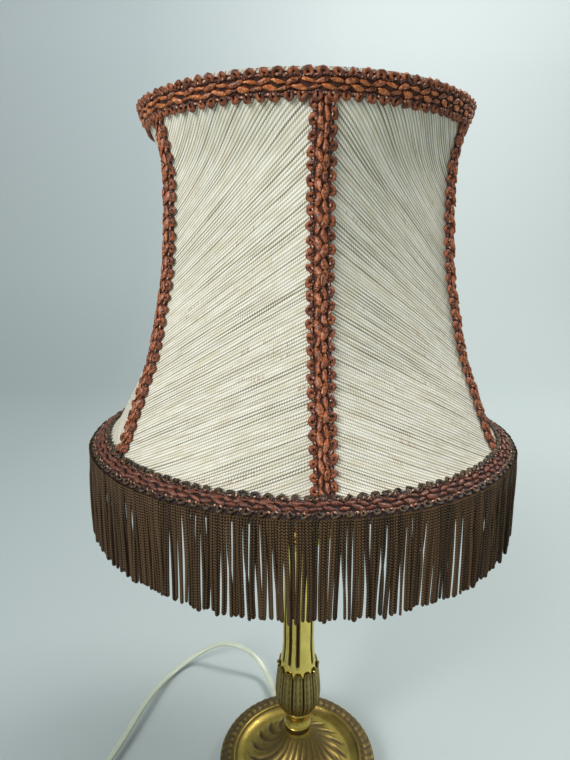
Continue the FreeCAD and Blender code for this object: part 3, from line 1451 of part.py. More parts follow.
# Check every object, then write each sub-part.
doc.recompute()
for obj in doc.Objects:
    if "Invalid" in obj.State or "Error" in obj.State:
        raise RuntimeError(f"{obj.Label} failed: {obj.State}")
os.makedirs("parts", exist_ok=True)
for node, obj in kept.items():
    shape = obj.Shape
    if shape.isNull() or not shape.isValid():
        raise RuntimeError(f"{node} has no valid shape")
    solids = shape.Solids
    print(node, len(solids), round(shape.Volume, 1), [round(v, 2) for v in (
        shape.BoundBox.XMin, shape.BoundBox.YMin, shape.BoundBox.ZMin,
        shape.BoundBox.XMax, shape.BoundBox.YMax, shape.BoundBox.ZMax,
    )])
    shape.exportStep(f"parts/{node}.step")
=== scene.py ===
import bisect
import math
import random

import bmesh
import bpy
from mathutils import Matrix, Vector, noise


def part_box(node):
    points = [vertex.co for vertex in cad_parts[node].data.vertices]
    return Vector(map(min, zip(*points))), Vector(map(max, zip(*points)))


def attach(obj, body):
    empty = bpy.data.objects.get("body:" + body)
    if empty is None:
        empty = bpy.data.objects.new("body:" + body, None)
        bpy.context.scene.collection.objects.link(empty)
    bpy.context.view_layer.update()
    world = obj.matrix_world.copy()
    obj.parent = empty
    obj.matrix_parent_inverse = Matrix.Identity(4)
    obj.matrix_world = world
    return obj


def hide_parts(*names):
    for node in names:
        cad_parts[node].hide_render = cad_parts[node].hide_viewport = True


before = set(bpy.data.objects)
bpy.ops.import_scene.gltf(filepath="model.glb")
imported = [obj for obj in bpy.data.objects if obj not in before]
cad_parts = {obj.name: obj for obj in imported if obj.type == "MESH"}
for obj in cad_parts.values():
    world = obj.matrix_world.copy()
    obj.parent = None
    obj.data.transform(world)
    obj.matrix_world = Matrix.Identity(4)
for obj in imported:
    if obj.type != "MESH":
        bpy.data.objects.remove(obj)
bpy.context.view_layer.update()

# A bedside lamp with a brass candlestick and a fringed fabric shade. Sizes are in millimetres,
# except where a name says otherwise, and become metres through MM.
MM = 0.001
RIBS = 6
PANEL_STEP = 360.0 / RIBS
FRONT = 270.0
ROD_BORE = 5.4
WIRE_RADIUS = 1.5
MERGE_METRES = 0.000005
COPY_MERGE_METRES = 0.00001


def added(name, data):
    """A new object in the scene."""
    piece = bpy.data.objects.new(name, data)
    bpy.context.scene.collection.objects.link(piece)
    return piece


def top_of(node):
    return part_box(node)[1][2] / MM


def foot_of(node):
    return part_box(node)[0][2] / MM


def radius_of(node):
    low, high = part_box(node)
    return (high[0] - low[0]) / 2 / MM


# ---- Camera ----
EYE = (-32.09, -348.69, 388.38)
HEADING = math.radians(3.5)
PITCH = math.radians(13.13)
ROLL = math.radians(0.31)
FOCAL_PIXELS = 557.0
PICTURE_HEIGHT = 760
SENSOR = 36.0


def make_camera():
    data = bpy.data.cameras.new("camera")
    data.sensor_fit = "VERTICAL"
    data.sensor_height = SENSOR
    data.lens = FOCAL_PIXELS / PICTURE_HEIGHT * SENSOR
    data.clip_start = 0.01
    data.clip_end = 60.0
    camera = added("camera", data)
    ahead = Vector((
        math.sin(HEADING) * math.cos(PITCH), math.cos(HEADING) * math.cos(PITCH), -math.sin(PITCH)
    ))
    right = Vector((math.cos(HEADING), -math.sin(HEADING), 0.0))
    right = Matrix.Rotation(-ROLL, 3, ahead) @ right
    up = right.cross(ahead)
    turn = Matrix((right, up, -ahead)).transposed().to_4x4()
    camera.matrix_world = Matrix.Translation(Vector(EYE) * MM) @ turn
    bpy.context.scene.camera = camera


make_camera()


# ---- Material helpers ----
class Finish:
    """A procedural material: a Principled shader and the nodes that feed it."""

    def __init__(self, name, **sockets):
        self.material = bpy.data.materials.new(name)
        self.material.use_nodes = True
        self.tree = self.material.node_tree
        self.shader = self.tree.nodes["Principled BSDF"]
        for key, value in sockets.items():
            self.shader.inputs[key.replace("_", " ")].default_value = value
        self.coordinates = self.tree.nodes.new("ShaderNodeTexCoord")

    def node(self, kind, **settings):
        made = self.tree.nodes.new(kind)
        for key, value in settings.items():
            if hasattr(made, key):
                setattr(made, key, value)
            else:
                made.inputs[key.replace("_", " ")].default_value = value
        return made

    def link(self, source, target):
        self.tree.links.new(source, target)

    def place(self, scale=(1.0, 1.0, 1.0), on="Object"):
        """Coordinates in the piece's own space or UV map, scaled."""
        mapping = self.node("ShaderNodeMapping", Scale=scale)
        self.link(self.coordinates.outputs[on], mapping.inputs["Vector"])
        return mapping.outputs["Vector"]

    def noise(self, where, scale, detail=4.0, rough=0.55):
        made = self.node("ShaderNodeTexNoise", Scale=scale, Detail=detail, Roughness=rough)
        self.link(where, made.inputs["Vector"])
        return made.outputs["Fac"]

    def ramp(self, value, stops):
        made = self.node("ShaderNodeValToRGB")
        points = made.color_ramp.elements
        for index, (position, colour) in enumerate(stops):
            point = points[index] if index < 2 else points.new(position)
            point.position = position
            point.color = (*colour, 1.0) if len(colour) == 3 else colour
        self.link(value, made.inputs["Fac"])
        return made.outputs["Color"]

    def shade(self, value, stops):
        """A grey ramp, for masks and roughness."""
        return self.ramp(value, [(p, (v, v, v)) for p, v in stops])

    def mix(self, share, first, second):
        made = self.node("ShaderNodeMix", data_type="RGBA")
        for socket, value in (
            (made.inputs["Factor"], share), (made.inputs[6], first), (made.inputs[7], second)
        ):
            if isinstance(value, (int, float)):
                socket.default_value = value
            elif isinstance(value, tuple):
                socket.default_value = (*value, 1.0)
            else:
                self.link(value, socket)
        return made.outputs[2]

    def math(self, operation, first, second=0.0):
        made = self.node("ShaderNodeMath", operation=operation)
        for socket, value in zip(made.inputs, (first, second)):
            if isinstance(value, (int, float)):
                socket.default_value = value
            else:
                self.link(value, socket)
        return made.outputs["Value"]

    def times(self, first, second):
        return self.math("MULTIPLY", first, second)

    def plus(self, first, second):
        return self.math("ADD", first, second)

    def waves(self, count):
        """Round waves, one for each whole number, dark where one ends and the next begins."""
        return self.math("ABSOLUTE", self.math("SINE", self.times(count, math.pi)))

    def parts(self, where):
        made = self.node("ShaderNodeSeparateXYZ")
        self.link(where, made.inputs["Vector"])
        return made.outputs

    def join(self, *values):
        made = self.node("ShaderNodeCombineXYZ")
        for socket, value in zip(made.inputs, values):
            self.link(value, socket)
        return made.outputs["Vector"]

    def attribute(self, name):
        return self.node("ShaderNodeAttribute", attribute_name=name).outputs["Fac"]

    def bump(self, height, distance, strength=1.0):
        made = self.node("ShaderNodeBump", Distance=distance, Strength=strength)
        self.link(height, made.inputs["Height"])
        self.link(made.outputs["Normal"], self.shader.inputs["Normal"])

    def set(self, socket, value):
        self.link(value, self.shader.inputs[socket])


def srgb(red, green, blue):
    """A colour picked on a 0 to 255 scale, as the linear value that a shader takes."""
    return tuple(
        v / 12.92 if v <= 0.04045 else ((v + 0.055) / 1.055) ** 2.4
        for v in (red / 255, green / 255, blue / 255)
    )


def darker(colour, share):
    return tuple(v * share for v in colour)


# ---- Finishes ----
def brass_finish(name, bright, dull, dark, shine=0.24, reads_patina_shade=False, mottle=0.5, tarnish=None):
    """Aged brass: bright where it is rubbed, dull in patches, dark in its pits, and darkened by its
    patina_shade map: patina in recesses, painted shade under and inside.
    """
    made = Finish(name, Metallic=1.0, Roughness=shine)
    where = made.place()
    broad = made.noise(where, 48.0, 4.0, 0.6)
    fine = made.noise(where, 420.0, 5.0, 0.65)
    speck = made.noise(where, 700.0, 2.0, 0.5)
    patch = made.shade(broad, [(0.5 - mottle / 3, 0.0), (0.5 + mottle / 2, 1.0)])
    colour = made.mix(patch, bright, dull)
    pits = made.shade(speck, [(0.7, 0.0), (0.76, 0.5)])
    colour = made.mix(pits, colour, dark)
    rough = made.shade(fine, [(0.3, shine * 0.75), (0.7, min(shine * 1.6, 0.9))])
    if tarnish:
        spread = made.attribute("tarnish")
        broken = made.times(spread, made.shade(fine, [(0.3, 1.0), (0.72, 0.55)]))
        colour = made.mix(broken, colour, tarnish)
        rough = made.mix(spread, rough, (0.42, 0.42, 0.42))
    if reads_patina_shade:
        # The map holds dark patina in recesses and flutes, and painted shade under the spool's bead and
        # inside the leaf cup.
        depth = made.attribute("patina_shade")
        colour = made.mix(depth, colour, dark)
        rough = made.mix(depth, rough, (0.66, 0.66, 0.66))
    made.set("Base Color", colour)
    made.set("Roughness", rough)
    made.bump(made.plus(made.times(fine, 0.6), speck), 0.00007, 0.35)
    return made.material


def thread_finish(name, colour, shadow, light, twist, glint, rough):
    """Twisted cord: stripes round a strand whose UV runs along it in metres and once round it."""
    made = Finish(name, Roughness=rough, Sheen_Weight=0.3, Sheen_Roughness=0.4, Sheen_Tint=(*light, 1.0))
    along, around, _ = made.parts(made.place(on="UV"))
    wave = made.waves(made.plus(made.math("DIVIDE", along, twist * MM), around))
    where = made.place()
    patch = made.noise(where, 260.0, 3.0)
    fibre = made.noise(where, 2200.0, 2.0)
    tone = made.mix(made.shade(patch, [(0.4, 0.0), (0.6, 0.9)]), colour, shadow)
    # Painted shade: the shadow colour darkens the dip between the plies.
    tone = made.mix(made.shade(wave, [(0.12, 0.8), (0.5, 0.0)]), tone, shadow)
    # Painted highlights: glints of the light colour on the crests of the plies, where the fibre noise
    # allows.
    lit = made.times(made.shade(wave, [(0.8, 0.0), (0.98, 1.0)]),
                    made.shade(fibre, [(0.52, 0.0), (0.62, glint)]))
    made.set("Base Color", made.mix(lit, tone, light))
    made.bump(made.plus(wave, made.times(fibre, 0.4)), 0.00022, 0.9)
    return made.material


def silk_finish(name, colour, shadow, light, rough=0.36):
    """Smooth rayon: satin, with fine paler fibres."""
    made = Finish(name, Roughness=rough, Sheen_Weight=0.35, Sheen_Roughness=0.3, Sheen_Tint=(*light, 1.0))
    where = made.place()
    patch = made.noise(where, 430.0, 3.0)
    fibre = made.noise(where, 1100.0, 3.0)
    tone = made.mix(made.shade(patch, [(0.43, 0.0), (0.58, 1.0)]), colour, shadow)
    tone = made.mix(made.shade(fibre, [(0.52, 0.0), (0.6, 0.7)]), tone, light)
    made.set("Base Color", tone)
    made.bump(made.plus(fibre, patch), 0.00018, 0.9)
    return made.material


STITCH_PITCH = 1.2


def chain_finish(name, colour, other, shadow, light):
    """Chainette: two columns of slanted stitches down each strand, each strand in its own tone."""
    made = Finish(
        name, Roughness=0.7, Sheen_Weight=0.08, Sheen_Roughness=0.45, Sheen_Tint=(*light, 1.0),
        Specular_IOR_Level=0.2,
    )
    along, around, _ = made.parts(made.place(on="UV"))
    fold = made.math("PINGPONG", made.times(around, 2.0), 0.5)
    wave = made.waves(made.plus(made.math("DIVIDE", along, STITCH_PITCH * MM), fold))
    where = made.place()
    fibre = made.noise(where, 2200.0, 2.0)
    tone = made.mix(made.attribute("tone"), colour, other)
    # Painted shade, nearly black, between the stitches; painted highlights on their crests.
    tone = made.mix(made.shade(wave, [(0.2, 1.0), (0.8, 0.0)]), tone, shadow)
    lit = made.times(made.shade(wave, [(0.8, 0.0), (1.0, 0.7)]), fibre)
    made.set("Base Color", made.mix(lit, tone, light))
    made.bump(wave, 0.00025, 0.9)
    return made.material


YARN_PITCH = 1.45
CROSS_PITCH = 1.2


def weave_finish(name, pale, warm, between_shade, thread):
    """Slubby open weave on the bias. The UV map counts metres across the yarns and along them."""
    made = Finish(name, Roughness=0.8, Sheen_Weight=0.05, Sheen_Roughness=0.5, Specular_IOR_Level=0.25)
    across, along, _ = made.parts(made.place(on="UV"))

    def noise_along(row, rate, scale=1.0, detail=2.0, rough=0.55):
        """Noise that differs from row to row, and changes at a rate per metre along each."""
        return made.noise(made.join(row, made.times(along, rate)), scale, detail, rough)

    drift = made.noise(made.place((240.0, 12.0, 1.0), on="UV"), 1.0, 2.0)
    bent = made.plus(across, made.times(drift, 0.9 * YARN_PITCH * MM))
    count = made.math("DIVIDE", bent, YARN_PITCH * MM)
    line = made.waves(count)
    yarn = made.times(made.math("FLOOR", count), 3.7)
    space = made.times(made.math("ROUND", count), 5.3)
    body = noise_along(yarn, 24.0)
    slub = noise_along(yarn, 55.0, 1.3)
    open_ = noise_along(space, 14.0, detail=1.0)
    fleck = noise_along(yarn, 600.0, detail=3.0, rough=0.7)
    shift = made.times(noise_along(yarn, 20.0, detail=1.0), 9.0)
    dot = made.waves(made.plus(made.math("DIVIDE", along, CROSS_PITCH * MM), shift))
    weight = made.shade(body, [(0.36, 0.75), (0.5, 1.0)])
    beaded = made.plus(made.times(dot, 0.55), 0.45)
    thick = made.times(made.times(line, weight), beaded)
    height = made.math("MAXIMUM", thick, made.times(dot, 0.34))
    tone = made.mix(made.shade(slub, [(0.44, 0.0), (0.6, 1.0)]), pale, warm)
    # Painted shade: the spaces between the yarns and the cross threads darken to the shade colour, more
    # in some spaces than in others.
    dark = made.times(made.shade(height, [(0.24, 1.0), (0.66, 0.0)]),
                     made.shade(open_, [(0.38, 0.45), (0.64, 0.95)]))
    tone = made.mix(dark, tone, between_shade)
    streak = made.times(made.shade(body, [(0.61, 0.0), (0.67, 1.0)]),
                       made.shade(fleck, [(0.5, 0.0), (0.6, 0.75)]))
    streak = made.times(streak, made.shade(height, [(0.45, 1.0), (0.85, 0.15)]))
    made.set("Base Color", made.mix(streak, tone, thread))
    made.bump(height, 0.0003, 0.9)
    return made.material


def plain_cloth_finish(name, colour, shadow, scale=1500.0):
    made = Finish(name, Roughness=0.85, Sheen_Weight=0.2)
    where = made.place()
    grain = made.noise(where, scale, 3.0)
    patch = made.noise(where, 60.0, 2.0)
    tone = made.mix(made.shade(grain, [(0.35, 1.0), (0.6, 0.0)]), colour, shadow)
    tone = made.mix(made.shade(patch, [(0.4, 0.0), (0.8, 0.25)]), tone, shadow)
    made.set("Base Color", tone)
    made.bump(grain, 0.0002, 0.8)
    return made.material


def plastic_finish(name, colour, rough, grain=600.0, depth=0.00003):
    made = Finish(name, Roughness=rough, Coat_Weight=0.15)
    where = made.place()
    fine = made.noise(where, grain, 3.0)
    broad = made.noise(where, 35.0, 2.0)
    patch = made.shade(broad, [(0.35, 0.0), (0.75, 1.0)])
    made.set("Base Color", made.mix(patch, colour, darker(colour, 0.86)))
    made.set("Roughness", made.shade(fine, [(0.3, rough * 0.8), (0.7, min(rough * 1.3, 1.0))]))
    made.bump(fine, depth, 0.5)
    return made.material


def metal_finish(name, colour, rough, grain=500.0, depth=0.00004):
    made = Finish(name, Metallic=1.0, Roughness=rough)
    where = made.place()
    fine = made.noise(where, grain, 4.0, 0.6)
    patch = made.shade(fine, [(0.4, 0.0), (0.8, 1.0)])
    made.set("Base Color", made.mix(patch, colour, darker(colour, 0.6)))
    made.set("Roughness", made.shade(fine, [(0.3, rough * 0.7), (0.7, min(rough * 1.6, 1.0))]))
    made.bump(fine, depth, 0.5)
    return made.material


BRIGHT_BRASS = srgb(252, 230, 128)
DULL_BRASS = srgb(158, 136, 66)
SHADE_AND_PATINA_DARK = srgb(56, 44, 32)
GREY_PATINA = srgb(92, 80, 66)
BROWN_PATINA = srgb(98, 78, 52)
RUST = srgb(158, 86, 46)
RUST_SHADOW = srgb(84, 40, 22)
RUST_LIGHT = srgb(214, 134, 84)
SATIN_HIGHLIGHT_ORANGE = srgb(184, 98, 48)
ORANGE_LIGHT = srgb(246, 166, 96)
BROWN = srgb(88, 66, 38)
BROWN_SHADOW = srgb(26, 18, 12)
BROWN_LIGHT = srgb(140, 112, 76)
REDDISH = srgb(112, 62, 42)
DARK_CORD = srgb(92, 48, 34)
DARK_CORD_SHADOW = srgb(44, 24, 18)
DARK_CORD_LIGHT = srgb(226, 168, 140)
CREAM = srgb(248, 244, 226)
CREAM_WARM = srgb(236, 229, 204)
WEAVE_GAP_SHADE = srgb(96, 90, 68)
SLUB_BROWN = srgb(142, 102, 60)
LINING = srgb(232, 230, 220)
LINING_SHADOW = srgb(196, 192, 178)

polished_brass = brass_finish("polished_brass", srgb(232, 206, 104), DULL_BRASS, SHADE_AND_PATINA_DARK, 0.14)
spool_brass = brass_finish("spool_brass", srgb(214, 190, 96), DULL_BRASS, SHADE_AND_PATINA_DARK, 0.22, True)
column_brass = brass_finish("column_brass", BRIGHT_BRASS, srgb(206, 182, 96), SHADE_AND_PATINA_DARK, 0.17, True)
cup_brass = brass_finish("cup_brass", srgb(170, 152, 92), srgb(124, 110, 68), SHADE_AND_PATINA_DARK, 0.3, True)
foot_brass = brass_finish(
    "foot_brass", srgb(186, 162, 80), srgb(128, 112, 60), GREY_PATINA, 0.31, True, 0.6, BROWN_PATINA
)
holder_brass = brass_finish("holder_brass", srgb(214, 188, 118), DULL_BRASS, SHADE_AND_PATINA_DARK, 0.34)
rust_cord = thread_finish("rust_cord", RUST, RUST_SHADOW, RUST_LIGHT, 3.4, 0.25, 0.5)
dark_cord = thread_finish("dark_cord", DARK_CORD, DARK_CORD_SHADOW, DARK_CORD_LIGHT, 1.3, 0.9, 0.4)
brown_cord = thread_finish("brown_cord", BROWN, BROWN_SHADOW, BROWN_LIGHT, 2.4, 0.5, 0.5)
rust_silk = silk_finish("rust_silk", RUST, RUST_SHADOW, RUST_LIGHT)
satin_highlight_silk = silk_finish("satin_highlight_silk", SATIN_HIGHLIGHT_ORANGE, RUST, ORANGE_LIGHT, 0.26)
reddish_silk = silk_finish("reddish_silk", REDDISH, srgb(72, 38, 28), srgb(158, 94, 66), 0.42)
copper_glint = silk_finish(
    "copper_glint", srgb(204, 146, 116), srgb(150, 90, 64), srgb(246, 208, 184), 0.22
)
# Tapes under the braids, in shadow tones: painted shade in the spaces between the cords; the brown one is
# also the fringe's heading hem.
braid_shade_ground = plain_cloth_finish("braid_shade_ground", RUST_SHADOW, DARK_CORD_SHADOW, 900.0)
brown_hem_and_shade = plain_cloth_finish("brown_hem_and_shade", BROWN_SHADOW, DARK_CORD_SHADOW, 900.0)
fringe_chain = chain_finish(
    "fringe_chain", srgb(92, 68, 42), srgb(30, 21, 13), srgb(10, 6, 4), srgb(156, 124, 88)
)
shade_weave = weave_finish("shade_weave", CREAM, CREAM_WARM, WEAVE_GAP_SHADE, SLUB_BROWN)
lining_cloth = plain_cloth_finish("lining_cloth", LINING, LINING_SHADOW)
frame_paint = plastic_finish("frame_paint", srgb(226, 224, 212), 0.5, 260.0, 0.00008)
cream_plastic = plastic_finish("cream_plastic", srgb(232, 226, 206), 0.3)
pale_plastic = plastic_finish("pale_plastic", srgb(240, 238, 230), 0.42)
steel = metal_finish("steel", srgb(206, 206, 204), 0.24)
iron = metal_finish("iron", srgb(70, 68, 66), 0.62, 260.0, 0.0002)
felt = plain_cloth_finish("felt", srgb(46, 74, 54), srgb(26, 44, 32), 1100.0)


def clear_plastic_finish(name, colour, clear, rough):
    """Clouded plastic or glass that lets a share of the light through."""
    made = Finish(name, Roughness=rough, Transmission_Weight=clear, IOR=1.42, Coat_Weight=0.3)
    where = made.place()
    cloud = made.noise(where, 90.0, 2.0)
    patch = made.shade(cloud, [(0.35, 0.0), (0.7, 1.0)])
    made.set("Base Color", made.mix(patch, colour, darker(colour, 0.9)))
    made.bump(made.noise(where, 420.0, 2.0), 0.00004, 0.4)
    return made.material


clear_plastic = clear_plastic_finish("clear_plastic", srgb(204, 212, 190), 0.12, 0.25)
clear_bush = clear_plastic_finish("clear_bush", srgb(214, 218, 200), 0.25, 0.3)
opal_glass = clear_plastic_finish("opal_glass", srgb(246, 244, 236), 0.2, 0.18)


# ---- Shape helpers ----
def deselect():
    if bpy.context.mode != "OBJECT":
        bpy.ops.object.mode_set(mode="OBJECT")
    bpy.ops.object.select_all(action="DESELECT")


def choose(piece):
    deselect()
    piece.select_set(True)
    bpy.context.view_layer.objects.active = piece


def settle(piece):
    """Puts a piece's place into its mesh."""
    choose(piece)
    bpy.ops.object.transform_apply(location=True, rotation=True, scale=True)


def opened(piece):
    """Enters a piece's mesh with everything selected."""
    choose(piece)
    bpy.ops.object.mode_set(mode="EDIT")
    bpy.ops.mesh.select_all(action="SELECT")


def closed_up():
    bpy.ops.object.mode_set(mode="OBJECT")


def dress(piece, body, material, *nodes, angle):
    """Gives a piece its finish and its body, and hides the nodes that it stands for."""
    choose(piece)
    if not piece.data.materials:
        piece.data.materials.append(material)
    bpy.ops.object.shade_smooth_by_angle(angle=math.radians(angle))
    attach(piece, body)
    if nodes:
        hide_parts(*nodes)


def mend_faces(piece, merge=MERGE_METRES):
    """Merges doubles and turns every face outwards."""
    opened(piece)
    bpy.ops.mesh.remove_doubles(threshold=merge)
    bpy.ops.mesh.normals_make_consistent(inside=False)
    closed_up()


def walled(piece, thickness, lining=0):
    """Gives a sheet its thickness inwards, with its lining's place in the list of finishes."""
    choose(piece)
    wall = piece.modifiers.new("wall", "SOLIDIFY")
    wall.thickness = thickness * MM
    wall.offset = -1.0
    wall.material_offset = lining
    wall.material_offset_rim = lining
    bpy.ops.object.modifier_apply(modifier="wall")


def bow(start, end, radius, side, steps=6):
    """Points of an arc between two outline points, whose centre is to the left (1) or right (-1)."""
    a = Vector(start)
    b = Vector(end)
    chord = b - a
    half = chord.length / 2
    left = Vector((-chord.y, chord.x)).normalized()
    centre = (a + b) / 2 + left * side * math.sqrt(max(radius * radius - half * half, 0.0))
    first = math.atan2(a.y - centre.y, a.x - centre.x)
    last = math.atan2(b.y - centre.y, b.x - centre.x)
    sweep = (last - first + math.pi) % math.tau - math.pi
    return [
        (centre.x + radius * math.cos(first + sweep * k / steps),
         centre.y + radius * math.sin(first + sweep * k / steps))
        for k in range(1, steps)
    ]


def outline_of(points, steps=6):
    """An outline in full, where (radius, height, bow, side) starts an arc."""
    line = []
    for point, following in zip(points, points[1:]):
        line.append(point[:2])
        if len(point) == 4:
            line += bow(point[:2], following[:2], point[2], point[3], steps)
    line.append(points[-1][:2])
    return line


def lathed(name, line, sides):
    """A ring is extruded along an outline, and scaled at each step."""
    deselect()
    radius, height = line[0]
    bpy.ops.mesh.primitive_circle_add(vertices=sides, radius=radius * MM, location=(0, 0, height * MM))
    piece = bpy.context.object
    piece.name = name
    settle(piece)
    opened(piece)
    for (last_radius, last_height), (radius, height) in zip(line, line[1:]):
        rise = (height - last_height) * MM
        bpy.ops.mesh.extrude_edges_move(TRANSFORM_OT_translate={"value": (0, 0, rise)})
        grow = radius / last_radius
        bpy.ops.transform.resize(value=(grow, grow, 1.0))
    closed_up()
    mend_faces(piece)
    return piece


def turned(name, points, sides, steps=6, closed=True):
    """A turned piece from outline points, some of which start arcs."""
    line = outline_of(points, steps)
    if closed:
        line.append(line[0])
    return lathed(name, line, sides)


def copied(node, name):
    """A smooth copy of a CAD node: merged, its flat faces joined."""
    piece = added(name, bpy.data.objects[node].data.copy())
    piece.data.materials.clear()
    mend_faces(piece, COPY_MERGE_METRES)
    return piece


def soften(piece, width):
    """Rounds the sharp edges of a piece."""
    opened(piece)
    bpy.ops.mesh.dissolve_limited(angle_limit=math.radians(1.0))
    closed_up()
    bevel = piece.modifiers.new("bevel", "BEVEL")
    bevel.width = width * MM
    bevel.segments = 2
    bevel.angle_limit = math.radians(32.0)
    bevel.use_clamp_overlap = True
    bpy.ops.object.modifier_apply(modifier="bevel")


def curve_through(name, kind, points):
    """A curve with one spline, its control points given in millimetres."""
    data = bpy.data.curves.new(name, "CURVE")
    data.dimensions = "3D"
    spline = data.splines.new(kind)
    spline.points.add(len(points) - 1)
    for place, point in zip(spline.points, points):
        place.co = (*(v * MM for v in point), 1.0)
    return data, spline


def strand(name, points, radius, finish=None):
    """A round strand through points, a curve turned into a mesh with its length in its UV."""
    data, _ = curve_through(name, "POLY", points)
    data.bevel_depth = radius * MM
    data.bevel_resolution = 1
    choose(added(name, data))
    bpy.ops.object.convert(target="MESH")
    piece = bpy.context.object
    length = sum((Vector(b) - Vector(a)).length for a, b in zip(points, points[1:])) * MM
    layer = piece.data.uv_layers.active
    if layer is None:
        raise RuntimeError(f"{name} has no UV map")
    for corner in layer.data:
        corner.uv.x *= length
    if finish:
        piece.data.materials.append(finish)
    return piece


def joined(name, *pieces):
    deselect()
    for piece in pieces:
        piece.select_set(True)
    bpy.context.view_layer.objects.active = pieces[0]
    bpy.ops.object.join()
    piece = bpy.context.object
    piece.name = name
    return piece


def repeat(piece, count, step):
    """Copies a piece in a row."""
    choose(piece)
    array = piece.modifiers.new("array", "ARRAY")
    array.count = count
    array.use_relative_offset = False
    array.use_constant_offset = True
    array.constant_offset_displace = (step * MM, 0.0, 0.0)
    bpy.ops.object.modifier_apply(modifier="array")


def move(piece, place):
    """Moves every vertex of a piece by a rule that takes and gives a place in millimetres."""
    for vertex in piece.data.vertices:
        vertex.co = Vector(place(*(vertex.co / MM))) * MM
    piece.data.update()


def mark(piece, name, values):
    """Keeps one value for each vertex, for a finish to read."""
    layer = piece.data.attributes.new(name, "FLOAT", "POINT")
    layer.data.foreach_set("value", values)


def smooth_step(low, high, value):
    share = min(max((value - low) / (high - low), 0.0), 1.0)
    return share * share * (3 - 2 * share)


def polar(radius, degrees, height=0.0):
    angle = math.radians(degrees)
    return Vector((radius * math.cos(angle), radius * math.sin(angle), height))


# ---- The flex ----
FLEX_WIDTH = 5.0
FLEX_HEIGHT = 2.9
CORD_AZIMUTH = 102.0
CORD_HEIGHT = 6.6
BUSH_END = 73.2
LAMP_SIDE_ROUTE = (
    (-18.3, 86.0, 6.6), (-25.5, 98.6, 12.6), (-38.5, 106.2, 22.0), (-56.9, 113.4, 24.5),
    (-75.8, 118.9, 15.4), (-93.7, 115.0, 5.8), (-110.0, 99.0, 3.6), (-121.0, 76.5, 6.5),
    (-129.5, 52.0, 7.5), (-136.5, 29.0, 6.5), (-143.8, 9.0, 6.3), (-150.0, -7.0, 8.5),
    (-150.0, -22.0, 8.5),
)
PLUG_SIDE_ROUTE = (
    (-150.0, -86.0, 8.5), (-150.0, -97.6, 8.5), (-145.6, -108.3, 6.6), (-137.4, -116.5, 4.4),
    (-126.7, -121.0, 3.0), (-112.6, -121.0, 2.5),
)
COIL_CENTRE = (-92.0, -81.5)
COIL_RADIUS = 39.5
COIL_PITCH = 5.6
COIL_LAYER = 5.5
COIL_TURNS = 3.5
COIL_STEPS = 16
COIL_LEAD = 6.0
COIL_TAIL = 18.0


def coil_points():
    """The coiled spare length: in and out again in two layers, with a climb between them."""
    points = []
    climb = 0.25
    for step in range(int(COIL_TURNS * 2 * COIL_STEPS) + 1):
        turn = step / COIL_STEPS
        past = turn - COIL_TURNS
        if abs(past) >= climb:
            radius = COIL_RADIUS - COIL_PITCH * (COIL_TURNS - abs(past))
            height = FLEX_WIDTH / 2 + (COIL_LAYER if past > 0 else 0.0)
        else:
            radius = COIL_RADIUS - COIL_PITCH * (COIL_TURNS - (past * past / climb + climb) / 2)
            ease = (past / climb + 1) * math.pi / 2
            height = FLEX_WIDTH / 2 + COIL_LAYER * (1 - math.cos(ease)) / 2
        spot = polar(radius, turn * 360.0 - 90.0, height)
        points.append((COIL_CENTRE[0] + spot.x, COIL_CENTRE[1] + spot.y, spot.z))
    return points


def route_line(points, name):
    """The smooth line that a route's points control, as a row of places in metres."""
    data, spline = curve_through(name, "NURBS", points)
    data.resolution_u = 8
    spline.order_u = 3
    spline.use_endpoint_u = True
    holder = added(name, data)
    bpy.context.view_layer.update()
    mesh = bpy.data.meshes.new_from_object(holder)
    line = [v.co.copy() for v in mesh.vertices]
    bpy.data.meshes.remove(mesh)
    bpy.data.objects.remove(holder)
    bpy.data.curves.remove(data)
    return line


def flat_tube(name, line, section):
    """A tube of any section along a line, with its UV in metres along it and once round it."""
    mesh = bmesh.new()
    layer = mesh.loops.layers.uv.new("UVMap")
    rings = []
    runs = [0.0]
    for before, after in zip(line, line[1:]):
        runs.append(runs[-1] + (after - before).length)
    for index, spot in enumerate(line):
        way = (line[min(index + 1, len(line) - 1)] - line[max(index - 1, 0)]).normalized()
        side = Vector((0, 0, 1)).cross(way).normalized()
        up = way.cross(side)
        rings.append([mesh.verts.new(spot + side * (x * MM) + up * (y * MM)) for x, y in section])
    count = len(section)
    for index, (near, far) in enumerate(zip(rings, rings[1:])):
        for k in range(count):
            face = mesh.faces.new((near[k], near[(k + 1) % count], far[(k + 1) % count], far[k]))
            for loop, (run, around) in zip(face.loops, (
                (runs[index], k), (runs[index], k + 1), (runs[index + 1], k + 1), (runs[index + 1], k)
            )):
                loop[layer].uv = (run, around / count)
    mesh.faces.new(list(reversed(rings[0])))
    mesh.faces.new(rings[-1])
    bmesh.ops.recalc_face_normals(mesh, faces=mesh.faces)
    data = bpy.data.meshes.new(name)
    mesh.to_mesh(data)
    mesh.free()
    return added(name, data)


CORE_SIDES = 10


def twin_section():
    """The flat twin flex: two round cores side by side, their shared waist a little pinched."""
    radius = FLEX_HEIGHT / 2
    out = FLEX_WIDTH / 2 - radius
    points = []
    for sign in (1, -1):
        for k in range(CORE_SIDES + 1):
            angle = math.radians(-118 + 236 * k / CORE_SIDES)
            points.append((sign * (out + radius * math.cos(angle)), sign * radius * math.sin(angle)))
    return points


